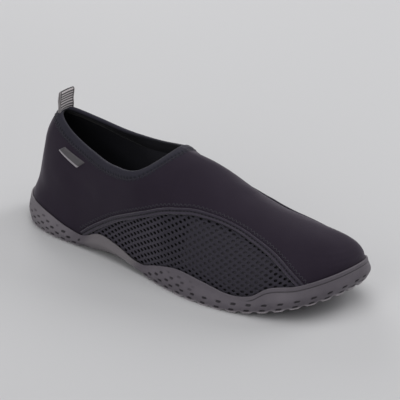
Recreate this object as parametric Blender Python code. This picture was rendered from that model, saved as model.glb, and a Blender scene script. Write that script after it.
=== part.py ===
"""Slip-on water shoe for the right foot.

A rubber cup sole carries a neoprene upper with a mesh panel on each side, a bound collar,
a webbing loop at the heel and a plain label on the outer side.

Frame: +X to the toe, +Y to the inner side of the foot, +Z up, origin on the ground under the
middle of the shoe. Lengths below are in millimetres, and stations run along the foot edge of
the upper: from the toe tip down the outer side to the heel, then back along the inner side.
"""

import math
from collections import namedtuple

import bmesh
import bpy
import numpy as np
from mathutils import Vector
from mathutils.bvhtree import BVHTree

MM = 0.001

# Driving sizes
LENGTH = 280.0
BALL_WIDTH = 95.0
INSTEP_HEIGHT = 82.0
HEEL_HEIGHT = 84.0
TOE_SPRING = 17.8
ARCH_RISE = 4.4
WALL = 2.5
GAP = 0.35

# Sections of the last from toe to heel. Along is in per cent of the length, out in per cent of
# the ball width, for the outer (lat) and inner (med) side of the sole's outline. The rest shapes
# the wall above it, in millimetres: rise and flare of its foot, crown and drop of its top, and
# the skirt that swells out where it meets the rubber.
Section = namedtuple(
    "Section", "lat_along lat_out med_along med_out rise flare lat_crown med_crown drop skirt")
SECTIONS = {
    "toe_tip": Section(99.5, 12.6, 99.5, 12.6, 23, 2.0, 23, 23, 0, 0),
    "toe_point": Section(98.4, -6.3, 98.9, 24.7, 23, 2.0, 23, 23, 0, 0),
    "toe_round": Section(94.8, -23.2, 96.4, 34.7, 22, 1.8, 24, 24, 0, 0),
    "toe_side": Section(88.6, -36.8, 90.4, 43.2, 21, 1.5, 25, 25, 0, 0),
    "forefoot": Section(80.0, -46.3, 81.8, 48.1, 22, 2.0, 26, 26, 0, 0),
    "ball": Section(72.1, -50.8, 73.6, 48.5, 23, 2.0, 26, 26, 0, 0),
    "ball_back": Section(64.3, -51.8, 65.7, 45.9, 24, 1.5, 26, 26, 0, 0),
    "throat": Section(56.1, -49.5, 57.1, 39.5, 27, 0.5, 29, 25, 1, 0),
    "waist_front": Section(46.4, -44.2, 47.5, 31.4, 28, -0.5, 17, 7, 7, 0),
    "waist": Section(35.7, -40.2, 36.4, 28.4, 28, -1.0, 11, 6, 14, 0),
    "heel_front": Section(24.6, -37.9, 24.6, 32.0, 28, -2.0, 8, 7, 15, 0.5),
    "heel_side": Section(14.3, -35.8, 14.3, 34.7, 30, -3.5, 12, 12, 13, 2.0),
    "heel_round": Section(6.1, -28.4, 6.1, 28.9, 30, -4.5, 14, 14, 11, 3.0),
    "heel_corner": Section(1.4, -15.3, 1.4, 15.8, 30, -4.5, 14, 14, 10, 3.2),
    "heel_back": Section(0.0, 0.0, 0.0, 0.0, 30, -4.0, 13, 13, 10, 3.2),
}

# Top line of the vamp, a row for each section from toe tip to throat. Up is in per cent of the
# instep height.
RidgeRow = namedtuple("RidgeRow", "along side up")
RIDGE = (
    RidgeRow(89.6, 13.2, 60.7),
    RidgeRow(88.2, 12.9, 61.5),
    RidgeRow(84.6, 11.4, 62.9),
    RidgeRow(78.6, 8.7, 65.6),
    RidgeRow(70.7, 6.3, 70.7),
    RidgeRow(62.9, 4.5, 81.1),
    RidgeRow(55.0, 2.9, 93.7),
    RidgeRow(47.1, 1.1, 100.0),
)

# Edge of the collar, a row for each section behind the throat. Up is in per cent of the heel
# height.
CollarRow = namedtuple("CollarRow", "along lat_out med_out up")
COLLAR = (
    CollarRow(41.8, -26.8, 27.9, 82.7),
    CollarRow(33.2, -27.7, 28.7, 78.9),
    CollarRow(24.3, -22.1, 23.2, 82.4),
    CollarRow(16.4, -16.4, 17.1, 89.3),
    CollarRow(11.4, -10.3, 10.5, 95.5),
    CollarRow(9.2, -5.1, 5.1, 99.0),
    CollarRow(8.6, 0.0, 0.0, 100.0),
)

# Top edge of the rubber side: how far along, in per cent, and how high above the tread.
EdgeRow = namedtuple("EdgeRow", "along up")
SOLE_EDGE = {
    "heel_back": EdgeRow(0.0, 18.5),
    "heel_round": EdgeRow(7.1, 17.6),
    "heel_side": EdgeRow(13.6, 14.8),
    "heel_front": EdgeRow(20.0, 10.2),
    "arch_start": EdgeRow(24.6, 8.6),
    "arch_top": EdgeRow(30.7, 14.7),
    "arch_fall": EdgeRow(37.1, 12.0),
    "arch_low": EdgeRow(43.6, 7.0),
    "wing_start": EdgeRow(46.8, 7.0),
    "wing_rise": EdgeRow(50.4, 10.5),
    "wing_top": EdgeRow(58.9, 16.2),
    "ball": EdgeRow(67.9, 14.6),
    "dip": EdgeRow(78.2, 10.3),
    "toe_step": EdgeRow(81.4, 11.2),
    "toe_rise": EdgeRow(84.3, 15.0),
    "toe_side": EdgeRow(92.1, 14.8),
    "toe_tip": EdgeRow(100.0, 16.0),
}

# Side of the rubber: how far its foot is drawn in and how far its middle swells out.
SideRow = namedtuple("SideRow", "along tuck belly")
SOLE_SIDE = (
    SideRow(0.0, 0.2, 1.5),
    SideRow(20.0, 0.4, 1.0),
    SideRow(30.0, 2.2, 0.3),
    SideRow(42.0, 2.2, 0.3),
    SideRow(50.0, 0.5, 0.6),
    SideRow(86.0, 0.6, 0.6),
    SideRow(95.0, 2.0, 0.5),
    SideRow(100.0, 3.2, 0.4),
)

# Arched top of the mesh panel on each side: station, and share of the wall's height.
PanelRow = namedtuple("PanelRow", "station share")
PANEL_ARC = (
    PanelRow(2.30, 0.10),
    PanelRow(2.65, 0.25),
    PanelRow(3.30, 0.475),
    PanelRow(4.10, 0.605),
    PanelRow(5.00, 0.62),
    PanelRow(5.90, 0.57),
    PanelRow(6.70, 0.52),
    PanelRow(7.60, 0.49),
    PanelRow(8.20, 0.45),
    PanelRow(8.80, 0.355),
    PanelRow(9.40, 0.205),
    PanelRow(10.05, 0.03),
)

# Webbing loop at the heel, from its end outside to its end inside: how far above the collar's
# edge, and how far out from the wall's outside.
LoopRow = namedtuple("LoopRow", "up out")
LOOP_PATH = (
    LoopRow(-14.0, 2.2),
    LoopRow(-8.5, 2.5),
    LoopRow(-3.5, 2.7),
    LoopRow(0.0, 2.7),
    LoopRow(2.0, 2.5),
    LoopRow(7.0, 1.2),
    LoopRow(13.5, 0.4),
    LoopRow(15.4, -0.1),
    LoopRow(16.2, -1.25),
    LoopRow(15.4, -2.4),
    LoopRow(13.5, -2.9),
    LoopRow(7.0, -3.7),
    LoopRow(2.0, -5.0),
    LoopRow(0.0, -5.2),
    LoopRow(-5.0, -5.2),
    LoopRow(-10.0, -5.2),
)

# Rubber sole
SIDE_INSET = 3.6        # foot of the upper, in from the sole's outline
SKIRT_REACH = 9.0       # height over which the upper flares out to the rubber
FLOOR = 5.0             # top of the sole under the insole
ARCH_SHARE = 0.5        # how much of the arch the floor follows
ARCH_MIDDLE = 102.0
ARCH_REACH = 48.0
ARCH_FROM = 69.0        # the side is smooth and without lugs from here
ARCH_TO = 131.0         # to here
SPRING_START = 195.0
LUG_DEPTH = 2.2
LUG_LENGTH = 7.0        # how far an edge lug runs in under the sole
LUG_SLOPE = 1.2
LUG_CELLS = {"toe": 16, "arch": 7, "heel": 8}
LUG_CUTS = ((0.14, False), (0.22, True), (0.78, True), (0.86, False))   # share of a cell, on the lug
BELLY_AT = 0.45         # heights on the rubber's side, in shares of it
SHOULDER_AT = 0.82
LIP = 1.4               # rubber at the top edge
LIP_STEP = 0.7

# Studs under the sole
STUD_RADIUS = 6.4
STUD_TAPER = 0.6
STUD_PITCH = 20.0
STUD_ROW = 17.5
STUD_MARGIN = 17.0
STUD_ROOT = 1.2
STUD_SIDES = 6
STUDS_ACROSS = range(-3, 4)

# Upper and insole
COLUMNS_A_ROW = 3
WALL_ROWS = 11
BLEND = ((-1.0, 0.1), (-0.5, 0.2), (0.0, 0.4), (0.5, 0.2), (1.0, 0.1))  # steps and shares at the throat
BLEND_REACH = 0.9
BLEND_SPAN = 1.6
LOW_WALL = 0.6          # share of the wall in which the rubber's edge lies
INSOLE = 3.0
SOCK_GAP = 0.5
INSOLE_POINTS = 56
INSOLE_LOW = 0.02       # share of the wall at which the insole's foot is measured

# Mesh panels and the band over their edge
MESH = 1.2
MESH_SINK = 0.3
PANEL_COLUMNS = 21
PANEL_ROWS = 4
PANEL_END = 0.04        # stations by which the mesh stops short of the window's ends
CUT_BELOW = -0.08       # the window runs out through the foot of the wall
CUT_DEPTH = 12.0
SEAM_GAP = 0.5
BAND_WIDTH = 4.8
BAND_HEIGHT = 0.9
BAND_ROUND = 0.55       # share of its width that is flat on top
BAND_ENDS = (2.58, 9.82)
BAND_COLUMNS = 25

# Collar binding, heel loop and label
RIM_POINTS = 42
RIM_STEPS = (-0.3, 0.0, 0.3)    # collar stations over which its outward direction is averaged
BINDING = 1.35          # reach of the tape beyond the wall, gap and all
BINDING_OVER = 1.8      # and over its edge
TAPE_GAP = 0.45
COLLAR_GAP = 0.8
BINDING_OUT = 7.0
BINDING_IN = 6.5
LOOP = 1.2
LOOP_FIBRES = (-1.5, -1.0, -0.5, 0.0, 0.5, 1.0, 1.5)    # collar stations either side of the heel
LOOP_LEAN = 0.15
LOOP_FLAT = (2.0, 12.0)     # heights between which the webbing goes flat
LOOP_FORWARD = 1.5
LABEL = 1.0
LABEL_CORNERS = ((11.1, 0.74), (10.9, 0.83), (10.1, 0.81), (10.3, 0.71))    # station and share
LABEL_STEPS = 4

NEAR = 0.01             # step for slopes
WELD = 0.01
OUTLINE_POINTS = 337
RUN_STEPS = 2001        # for lengths along the outline
WALL_STEPS = 61         # for heights up the wall
SHARP = math.radians(40)

Finish = namedtuple("Finish", "colour roughness")
RUBBER = Finish((0.16, 0.145, 0.165), 0.6)
NEOPRENE = Finish((0.032, 0.026, 0.036), 0.85)
FOAM = Finish((0.012, 0.011, 0.014), 0.9)
MESH_CLOTH = Finish((0.05, 0.045, 0.055), 0.8)
TAPE = Finish((0.02, 0.02, 0.03), 0.8)
WEBBING = Finish((0.45, 0.42, 0.43), 0.8)
PALE_TAPE = Finish((0.5, 0.48, 0.5), 0.7)


def spline(rows, at, closed):
    """Smooth curve through rows that stand at whole-number stations."""
    at = np.asarray(at, float)
    first = np.floor(at).astype(int)
    if closed:
        pads = [rows[(first + step) % len(rows)] for step in (-1, 0, 1, 2)]
    else:
        first = np.clip(first, 0, len(rows) - 2)
        before = 2 * rows[:1] - rows[1:2]
        after = 2 * rows[-1:] - rows[-2:-1]
        longer = np.concatenate([before, rows, after])
        pads = [longer[first + 1 + step] for step in (-1, 0, 1, 2)]
    a, b, c, d = pads
    f = (at - first)[..., None]
    return b + 0.5 * f * (c - a + f * (2 * a - 5 * b + 4 * c - d + f * (3 * (b - c) + d - a)))


def through(rows, at):
    """Smooth height through (along, up) rows at any spacing."""
    along, up = rows[:, 0], rows[:, 1]
    slope = np.gradient(up, along)
    i = np.clip(np.searchsorted(along, at) - 1, 0, len(rows) - 2)
    span = along[i + 1] - along[i]
    f = np.clip((at - along[i]) / span, 0, 1)
    start = up[i] * (1 + 2 * f) + slope[i] * span * f
    end = up[i + 1] * (3 - 2 * f) + slope[i + 1] * span * (f - 1)
    return start * (1 - f) ** 2 + end * f ** 2


def both_sides(lateral, medial):
    """Rows of the outer side, toe to heel, followed by those of the inner side, heel to toe."""
    return np.concatenate([lateral, medial[-2:0:-1]])


ROWS = list(SECTIONS.values())
HEEL = len(ROWS) - 1            # station of the heel's back
THROAT = len(RIDGE) - 1         # station of the throat
TURN = 2 * HEEL                 # stations in one turn round the shoe

PLAN_SIZE = np.array((LENGTH, BALL_WIDTH)) / 100
OUTLINE = both_sides(
    np.array([(r.lat_along, r.lat_out) for r in ROWS]) * PLAN_SIZE,
    np.array([(r.med_along, r.med_out) for r in ROWS]) * PLAN_SIZE,
)
SHAPE = both_sides(
    np.array([(r.rise, r.flare, r.lat_crown, r.drop, r.skirt) for r in ROWS], float),
    np.array([(r.rise, r.flare, r.med_crown, r.drop, r.skirt) for r in ROWS], float),
)
RIDGE_LINE = np.array(RIDGE) * (LENGTH, BALL_WIDTH, INSTEP_HEIGHT) / 100
COLLAR_SIZE = np.array((LENGTH, BALL_WIDTH, HEEL_HEIGHT)) / 100
LATERAL_RIM = np.array([(r.along, r.lat_out, r.up) for r in COLLAR]) * COLLAR_SIZE
MEDIAL_RIM = np.array([(r.along, r.med_out, r.up) for r in COLLAR]) * COLLAR_SIZE
COLLAR_LINE = np.concatenate([RIDGE_LINE[-1:], LATERAL_RIM, MEDIAL_RIM[-2::-1]])
EDGE_LINE = np.array([(r.along * LENGTH / 100, r.up) for r in SOLE_EDGE.values()])
TUCK_LINE = np.array([(r.along * LENGTH / 100, r.tuck) for r in SOLE_SIDE])
BELLY_LINE = np.array([(r.along * LENGTH / 100, r.belly) for r in SOLE_SIDE])


def spring(x):
    """Rise of the whole sole towards the toe."""
    return TOE_SPRING * (np.clip(x - SPRING_START, 0, None) / (LENGTH - SPRING_START)) ** 2


def arch(x):
    """Rise of the tread under the arch, nothing beyond its reach."""
    across = np.clip((x - ARCH_MIDDLE) / ARCH_REACH, -1, 1)
    return ARCH_RISE * np.cos(across * math.pi / 2) ** 2


def tread(x):
    return spring(x) + arch(x)


def base(x):
    """Underside of the sole between its lugs."""
    return spring(x) + np.maximum(LUG_DEPTH, arch(x))


def sole_floor(x):
    return FLOOR + ARCH_SHARE * arch(x) + spring(x)


def sole_edge(x):
    return spring(x) + through(EDGE_LINE, x)


def outline(s):
    """Points of the sole's outline at stations s, and the outward directions there."""
    s = np.asarray(s, float)
    ahead = spline(OUTLINE, s + NEAR, True) - spline(OUTLINE, s - NEAR, True)
    out = np.stack([-ahead[..., 1], ahead[..., 0]], -1)
    return spline(OUTLINE, s, True), out / np.linalg.norm(out, axis=-1, keepdims=True)


def from_toe(s):
    """Station counted from the toe, on either side."""
    s = np.mod(s, TURN)
    return np.where(s > HEEL, TURN - s, s)


def top(s):
    """Where the wall ends: on the vamp's top line, or on the collar behind the throat."""
    s = np.mod(s, TURN)
    row = from_toe(s)
    behind = np.where(s > HEEL, len(COLLAR_LINE) - (row - THROAT), row - THROAT)
    on_ridge = spline(RIDGE_LINE, np.clip(row, 0, THROAT), False)
    on_collar = spline(COLLAR_LINE, behind, True)
    return np.where((row <= THROAT)[..., None], on_ridge, on_collar)


def joined(plan, height):
    """Points from places on the ground and their heights."""
    return np.concatenate([plan, height[..., None]], -1)


def crown_at(s):
    """Handle below the wall's top, which rounds the vamp over and leads the wall to the collar."""
    edge, out = outline(s)
    crown, drop = np.moveaxis(spline(SHAPE, s, True), -1, 0)[2:4]
    end = top(s)
    away = edge - SIDE_INSET * out - end[..., :2]
    away /= np.linalg.norm(away, axis=-1, keepdims=True)
    row = np.clip(from_toe(s), NEAR, THROAT - NEAR)
    run = spline(RIDGE_LINE, row + NEAR, False) - spline(RIDGE_LINE, row - NEAR, False)
    slope = run[..., 2] / run[..., 0] * np.clip(THROAT + 1 - from_toe(s), 0, 1)
    return end + joined(away * crown[..., None], slope * away[..., 0] * crown - drop)


def wall(s, t):
    """Outside of the upper at station s, from its foot (t = 0) to its top (t = 1)."""
    s, t = np.asarray(s, float), np.asarray(t, float)
    edge, out = outline(s)
    rise, flare, _, _, skirt = np.moveaxis(spline(SHAPE, s, True), -1, 0)
    foot = edge - SIDE_INSET * out
    first = joined(foot, sole_floor(foot[..., 0]) + GAP)
    second = first + joined(out * flare[..., None], rise)
    reach = BLEND_REACH * np.exp(-((from_toe(s) - THROAT) / BLEND_SPAN) ** 2)
    third = sum(share * crown_at(s + step * reach) for step, share in BLEND)
    u, v = (1 - t)[..., None], t[..., None]
    point = u ** 3 * first + 3 * u * u * v * second + 3 * u * v * v * third + v ** 3 * top(s)
    swell = skirt * np.exp(-((point[..., 2] - sole_edge(edge[..., 0])) / SKIRT_REACH) ** 2)
    point[..., :2] += out * swell[..., None]
    return point


def lifted(s, t, lift):
    """A point this far out from the upper's outside, or in where lift is negative."""
    s, t = np.broadcast_arrays(np.asarray(s, float), np.asarray(t, float))
    around = wall(s + NEAR, t) - wall(s - NEAR, t)
    upward = wall(s, t + NEAR) - wall(s, t - NEAR)
    out = np.cross(upward, around)
    return wall(s, t) + lift * out / np.linalg.norm(out, axis=-1, keepdims=True)


def share_at(s, height):
    """How far up the wall it reaches a height near the sole."""
    steps = np.linspace(0, LOW_WALL, WALL_STEPS)
    heights = wall(s[:, None], steps)[..., 2]
    return np.array([np.interp(want, row, steps) for want, row in zip(height, heights)])


def sole_columns():
    """Stations of the sole's columns, outer side then inner, and which of them are on a lug."""
    fine = np.linspace(0, HEEL, RUN_STEPS)
    sides = []
    for s in (fine, TURN - fine):
        point, _ = outline(s)
        run = np.concatenate([[0], np.cumsum(np.linalg.norm(np.diff(point, axis=0), axis=1))])
        ends = [0, *np.interp([-ARCH_TO, -ARCH_FROM], -point[:, 0], run), run[-1]]
        places, lugs = [], []
        for zone, start, end in zip(LUG_CELLS, ends, ends[1:]):
            cuts = ((0.5, False),) if zone == "arch" else LUG_CUTS
            for cell in range(LUG_CELLS[zone]):
                for cut, on_lug in cuts:
                    places.append(start + (cell + cut) * (end - start) / LUG_CELLS[zone])
                    lugs.append(on_lug)
        sides.append(np.interp(places, run, s))
    return np.concatenate([sides[0], sides[1][::-1]]), np.array(lugs + lugs[::-1])


def banded(bm, rings):
    """Closed bands of faces between rings of points, with a strip across each end ring."""
    made = [[bm.verts.new(point) for point in ring] for ring in rings]
    count = len(made[0])
    for lower, upper in zip(made, made[1:]):
        for i in range(count):
            j = (i + 1) % count
            bm.faces.new((lower[i], lower[j], upper[j], upper[i]))
    for ring in (made[0], made[-1]):
        for i in range(count // 2 - 1):
            bm.faces.new((ring[i], ring[i + 1], ring[count - 2 - i], ring[count - 1 - i]))
    bmesh.ops.recalc_face_normals(bm, faces=bm.faces)


def sheet(bm, points, closed=False):
    """Faces over a grid of points, columns first, facing out when columns run from the toe down
    the outer side and rows run up."""
    made = [[bm.verts.new(point) for point in column] for column in points]
    for i in range(len(made) - (not closed)):
        near, far = made[i], made[(i + 1) % len(made)]
        for j in range(len(near) - 1):
            bm.faces.new((near[j], near[j + 1], far[j + 1], far[j]))
    bmesh.ops.remove_doubles(bm, verts=bm.verts, dist=WELD)


def tube(bm, rings, closed):
    """Closed skin through the rings of a profile, run along a path and capped where it is open."""
    made = [[bm.verts.new(point) for point in ring] for ring in rings]
    count = len(made[0])
    for lower, upper in zip(made, made[1:] + made[:1]):
        for i in range(count - (not closed)):
            j = (i + 1) % count
            bm.faces.new((lower[i], lower[j], upper[j], upper[i]))
    if not closed:
        bm.faces.new([ring[0] for ring in made])
        bm.faces.new([ring[-1] for ring in made])
    bmesh.ops.recalc_face_normals(bm, faces=bm.faces)


def solid(name, bm, finish, helper=False):
    """Object from a mesh in millimetres, set about the origin, with its own material."""
    bmesh.ops.translate(bm, verts=bm.verts, vec=-MIDDLE)
    bmesh.ops.scale(bm, verts=bm.verts, vec=(MM, MM, MM))
    mesh = bpy.data.meshes.new(name)
    bm.to_mesh(mesh)
    bm.free()
    mesh.shade_smooth()
    mesh.set_sharp_from_angle(angle=SHARP)
    obj = bpy.data.objects.new(name, mesh)
    bpy.context.scene.collection.objects.link(obj)
    if helper:
        obj.hide_render = True
        obj.display_type = "WIRE"
        return obj
    material = bpy.data.materials.new(name)
    material.use_nodes = True
    shader = material.node_tree.nodes["Principled BSDF"]
    shader.inputs["Base Color"].default_value = (*finish.colour, 1)
    shader.inputs["Roughness"].default_value = finish.roughness
    shader.inputs["Metallic"].default_value = 0.0
    mesh.materials.append(material)
    return obj


def thicken(obj, thickness, offset=-1):
    made = obj.modifiers.new("wall", "SOLIDIFY")
    made.thickness = thickness * MM
    made.offset = offset
    made.use_even_offset = True


def combine(obj, other, operation):
    made = obj.modifiers.new(other.name, "BOOLEAN")
    made.operation = operation
    made.object = other


def make_outsole():
    s, lug = sole_columns()
    edge, out = outline(s)
    x = edge[:, 0]
    tuck = through(TUCK_LINE, x)
    belly = through(BELLY_LINE, x)
    high = sole_edge(x)
    rise = high - tread(x)
    share = share_at(s, high)

    def side(reach, height):
        return joined(edge + out * reach[:, None], height)

    def under(inset, lugs):
        plan = edge - inset * out
        return joined(plan, np.where(lugs, tread(plan[:, 0]), base(plan[:, 0])))

    lip = lifted(s, share, GAP + LIP)
    corner = lifted(s, 0 * s, GAP)
    corner[:, 2] = sole_floor(corner[:, 0])
    rings = [
        under(LUG_LENGTH + LUG_SLOPE, np.zeros_like(lug)),
        under(LUG_LENGTH, lug),
        side(-tuck, np.where(lug, tread(x), base(x))),
        side(belly, tread(x) + BELLY_AT * rise),
        lip + joined(out * LIP_STEP, (SHOULDER_AT - 1) * rise),
        lip,
        lifted(s, share, GAP),
        lifted(s, share / 2, GAP),
        corner,
    ]
    bm = bmesh.new()
    banded(bm, rings)
    outsole = solid("outsole", bm, RUBBER)
    combine(outsole, make_studs(), "UNION")


def make_studs():
    """Six-sided studs in staggered rows under heel and forefoot, inside the edge lugs."""
    edge, _ = outline(np.linspace(0, TURN, OUTLINE_POINTS))
    bm = bmesh.new()
    for row in range(int(LENGTH / STUD_ROW)):
        x = (row + 0.5) * STUD_ROW
        if ARCH_FROM - STUD_RADIUS < x < ARCH_TO + STUD_RADIUS:
            continue
        beside = edge[np.abs(edge[:, 0] - x) < STUD_RADIUS, 1]
        for column in STUDS_ACROSS:
            y = (column + 0.5 * (row % 2)) * STUD_PITCH
            clear = np.linalg.norm(edge - (x, y), axis=1).min()
            if clear < STUD_MARGIN or not beside.min() < y < beside.max():
                continue
            made = bmesh.ops.create_cone(
                bm, cap_ends=True, segments=STUD_SIDES, radius1=STUD_RADIUS,
                radius2=STUD_RADIUS + STUD_TAPER, depth=LUG_DEPTH)
            for vert in made["verts"]:
                tip = vert.co.z < 0
                vert.co.x += x
                vert.co.y += y
                at = np.float64(vert.co.x)
                vert.co.z = tread(at) if tip else base(at) + STUD_ROOT
    return solid("stud_form", bm, RUBBER, helper=True)


def make_insole():
    s = (np.arange(INSOLE_POINTS) + 0.5) * TURN / INSOLE_POINTS
    inside = -(WALL + SOCK_GAP)
    low = lifted(s, 0 * s + INSOLE_LOW, inside)
    low[:, 2] = sole_floor(low[:, 0]) + GAP
    share = share_at(s, sole_floor(low[:, 0]) + GAP + INSOLE)
    high = lifted(s, share, inside)
    high[:, 2] = sole_floor(high[:, 0]) + GAP + INSOLE
    bm = bmesh.new()
    banded(bm, [low, high])
    solid("insole", bm, FOAM)


def upper_columns():
    """Points of the upper's outside, a column for each station."""
    s = np.arange(TURN * COLUMNS_A_ROW) / COLUMNS_A_ROW
    t = 0.5 - 0.5 * np.cos(np.linspace(0, math.pi, WALL_ROWS + 1))
    return s, wall(s[:, None], t)


def skin(points):
    bm = bmesh.new()
    sheet(bm, points, closed=True)
    bm.normal_update()
    return bm


def make_upper(windows):
    _, points = upper_columns()
    upper = solid("upper", skin(points), NEOPRENE)
    thicken(upper, WALL)
    for window in windows:
        combine(upper, window, "DIFFERENCE")


def panel_share(s):
    """Share of the wall's height at which the mesh panel's arch lies."""
    return through(np.array(PANEL_ARC), from_toe(s))


def panel_stations(start, end, count, inner):
    """Stations along one side, in the order of the turn round the shoe."""
    s = np.linspace(start, end, count)
    return (TURN - s)[::-1] if inner else s


def make_window(side, inner):
    """Opening in the upper, run out through its foot."""
    s = panel_stations(PANEL_ARC[0].station, PANEL_ARC[-1].station, PANEL_COLUMNS, inner)
    shares = CUT_BELOW + (panel_share(s) - CUT_BELOW)[:, None] * np.linspace(0, 1, PANEL_ROWS)
    bm = bmesh.new()
    sheet(bm, wall(s[:, None], shares))
    window = solid("window_" + side, bm, NEOPRENE, helper=True)
    thicken(window, CUT_DEPTH, 0)
    return window


def make_panel(side, inner):
    start, end = PANEL_ARC[0].station + PANEL_END, PANEL_ARC[-1].station - PANEL_END
    s = panel_stations(start, end, PANEL_COLUMNS, inner)
    arc = panel_share(s)
    up = np.linalg.norm(wall(s, arc) - wall(s, arc - NEAR), axis=-1) / NEAR
    shares = (arc - SEAM_GAP / up)[:, None] * np.linspace(0, 1, PANEL_ROWS)
    bm = bmesh.new()
    sheet(bm, lifted(s[:, None], shares, -MESH_SINK))
    panel = solid("mesh_panel_" + side, bm, MESH_CLOTH)
    thicken(panel, MESH)


def make_band(side, inner):
    """Raised band along the arch, over the edges of upper and mesh."""
    s = panel_stations(*BAND_ENDS, BAND_COLUMNS, inner)
    arc = panel_share(s)
    along = wall(s + NEAR, panel_share(s + NEAR)) - wall(s - NEAR, panel_share(s - NEAR))
    out = lifted(s, arc, 1) - wall(s, arc)
    across = np.cross(out, along)
    across /= np.linalg.norm(across, axis=-1, keepdims=True)
    half = BAND_WIDTH / 2
    profile = (
        (-half, GAP),
        (-half, GAP + BAND_HEIGHT / 2),
        (-half * BAND_ROUND, GAP + BAND_HEIGHT),
        (half * BAND_ROUND, GAP + BAND_HEIGHT),
        (half, GAP + BAND_HEIGHT / 2),
        (half, GAP),
    )
    bm = bmesh.new()
    tube(bm, [wall(s, arc) + a * across + b * out for a, b in profile], closed=False)
    solid("panel_band_" + side, bm, NEOPRENE)


def normals(points):
    return np.array([SURFACE.find_nearest(Vector(p))[1] for p in points])


def collar_frame(k):
    """Points of the collar's edge at collar stations k, with the directions out of the wall and
    down it from there."""
    point = spline(COLLAR_LINE, k, True)
    run = spline(COLLAR_LINE, k + NEAR, True) - spline(COLLAR_LINE, k - NEAR, True)
    run /= np.linalg.norm(run, axis=-1, keepdims=True)
    out = sum(normals(spline(COLLAR_LINE, k + step, True)) for step in RIM_STEPS)
    out -= (out * run).sum(-1, keepdims=True) * run
    out /= np.linalg.norm(out, axis=-1, keepdims=True)
    return point, out, np.cross(out, run)


def seated(points, lift):
    """Points moved onto the upper's outside, then out by lift."""
    found = [SURFACE.find_nearest(Vector(p)) for p in points]
    return np.array([place + normal * lift for place, normal, _, _ in found])


def make_binding():
    """Channel of tape folded over the collar's edge."""
    k = np.arange(RIM_POINTS) * len(COLLAR_LINE) / RIM_POINTS
    rim, out, down = collar_frame(k)
    inside = -(WALL + BINDING)
    rings = [
        seated(rim + BINDING_OUT * down, BINDING),
        seated(rim + BINDING_OUT / 2 * down, BINDING),
        rim + BINDING * out,
        rim - BINDING_OVER * down,
        rim - WALL * out - BINDING_OVER * down,
        rim + inside * out,
        seated(rim + BINDING_IN * down, inside),
    ]
    bm = bmesh.new()
    tube(bm, rings, closed=True)
    binding = solid("collar_binding", bm, TAPE)
    combine(binding, make_room(), "DIFFERENCE")


def make_room():
    """The upper with a gap all round it, run on over the collar."""
    s, points = upper_columns()
    at_collar = from_toe(s) >= THROAT
    _, _, down = collar_frame(s[at_collar] - THROAT)
    points[at_collar, -1] -= COLLAR_GAP * down
    room = solid("collar_room", skin(points), NEOPRENE, helper=True)
    thickness = WALL + 2 * TAPE_GAP
    thicken(room, thickness, 2 * TAPE_GAP / thickness - 1)
    return room


def make_loop():
    k = len(COLLAR_LINE) / 2 + np.array(LOOP_FIBRES)
    rim, out, down = collar_frame(k)
    centre = len(k) // 2
    across = (rim - rim[centre]) * (0, 1, 0)
    columns = []
    for row in LOOP_PATH:
        if row.up < 0:
            columns.append(seated(rim[centre] - row.up * down[centre] + across, row.out))
            continue
        curved = rim + row.out * out - row.up * down
        lean = np.array((LOOP_LEAN * row.up + LOOP_FORWARD, 0, row.up))
        flat = rim[centre] + row.out * out[centre] + lean + across
        share = np.interp(row.up, LOOP_FLAT, (0, 1))
        columns.append((1 - share) * curved + share * flat)
    bm = bmesh.new()
    sheet(bm, np.stack(columns, 1))
    loop = solid("pull_loop", bm, WEBBING)
    thicken(loop, LOOP, 0)


def make_label():
    """Plain folded tape on the outer side below the collar."""
    low_back, high_back, high_front, low_front = np.array(LABEL_CORNERS)
    along = np.linspace(0, 1, LABEL_STEPS + 1)[:, None, None]
    up = np.linspace(0, 1, LABEL_STEPS // 2 + 1)[:, None]
    front = low_front + (high_front - low_front) * up
    back = low_back + (high_back - low_back) * up
    place = front + (back - front) * along
    bm = bmesh.new()
    sheet(bm, lifted(place[..., 0], place[..., 1], GAP))
    label = solid("side_label", bm, PALE_TAPE)
    thicken(label, LABEL, 1)


def clear_scene():
    for obj in list(bpy.data.objects):
        bpy.data.objects.remove(obj)


def middle():
    """Middle of the rubber's plan, over which the origin stands."""
    edge, out = outline(np.linspace(0, TURN, OUTLINE_POINTS))
    edge = edge + out * through(BELLY_LINE, edge[:, 0])[:, None]
    low, high = edge.min(0), edge.max(0)
    return Vector((*((low + high) / 2), 0))


MIDDLE = middle()
SURFACE = BVHTree.FromBMesh(skin(upper_columns()[1]))
SIDES = {"outer": False, "inner": True}


def main():
    clear_scene()
    make_outsole()
    make_insole()
    make_upper([make_window(side, inner) for side, inner in SIDES.items()])
    for side, inner in SIDES.items():
        make_panel(side, inner)
        make_band(side, inner)
    make_binding()
    make_loop()
    make_label()


main()
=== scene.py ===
# Water shoe for the right foot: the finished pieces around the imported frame.
# Shapes are worked out in millimetres, x from heel to toe, y to the inner side, z up.
import math

import bmesh
import bpy
import numpy as np
from mathutils import Matrix, Vector
from mathutils.bvhtree import BVHTree


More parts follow.
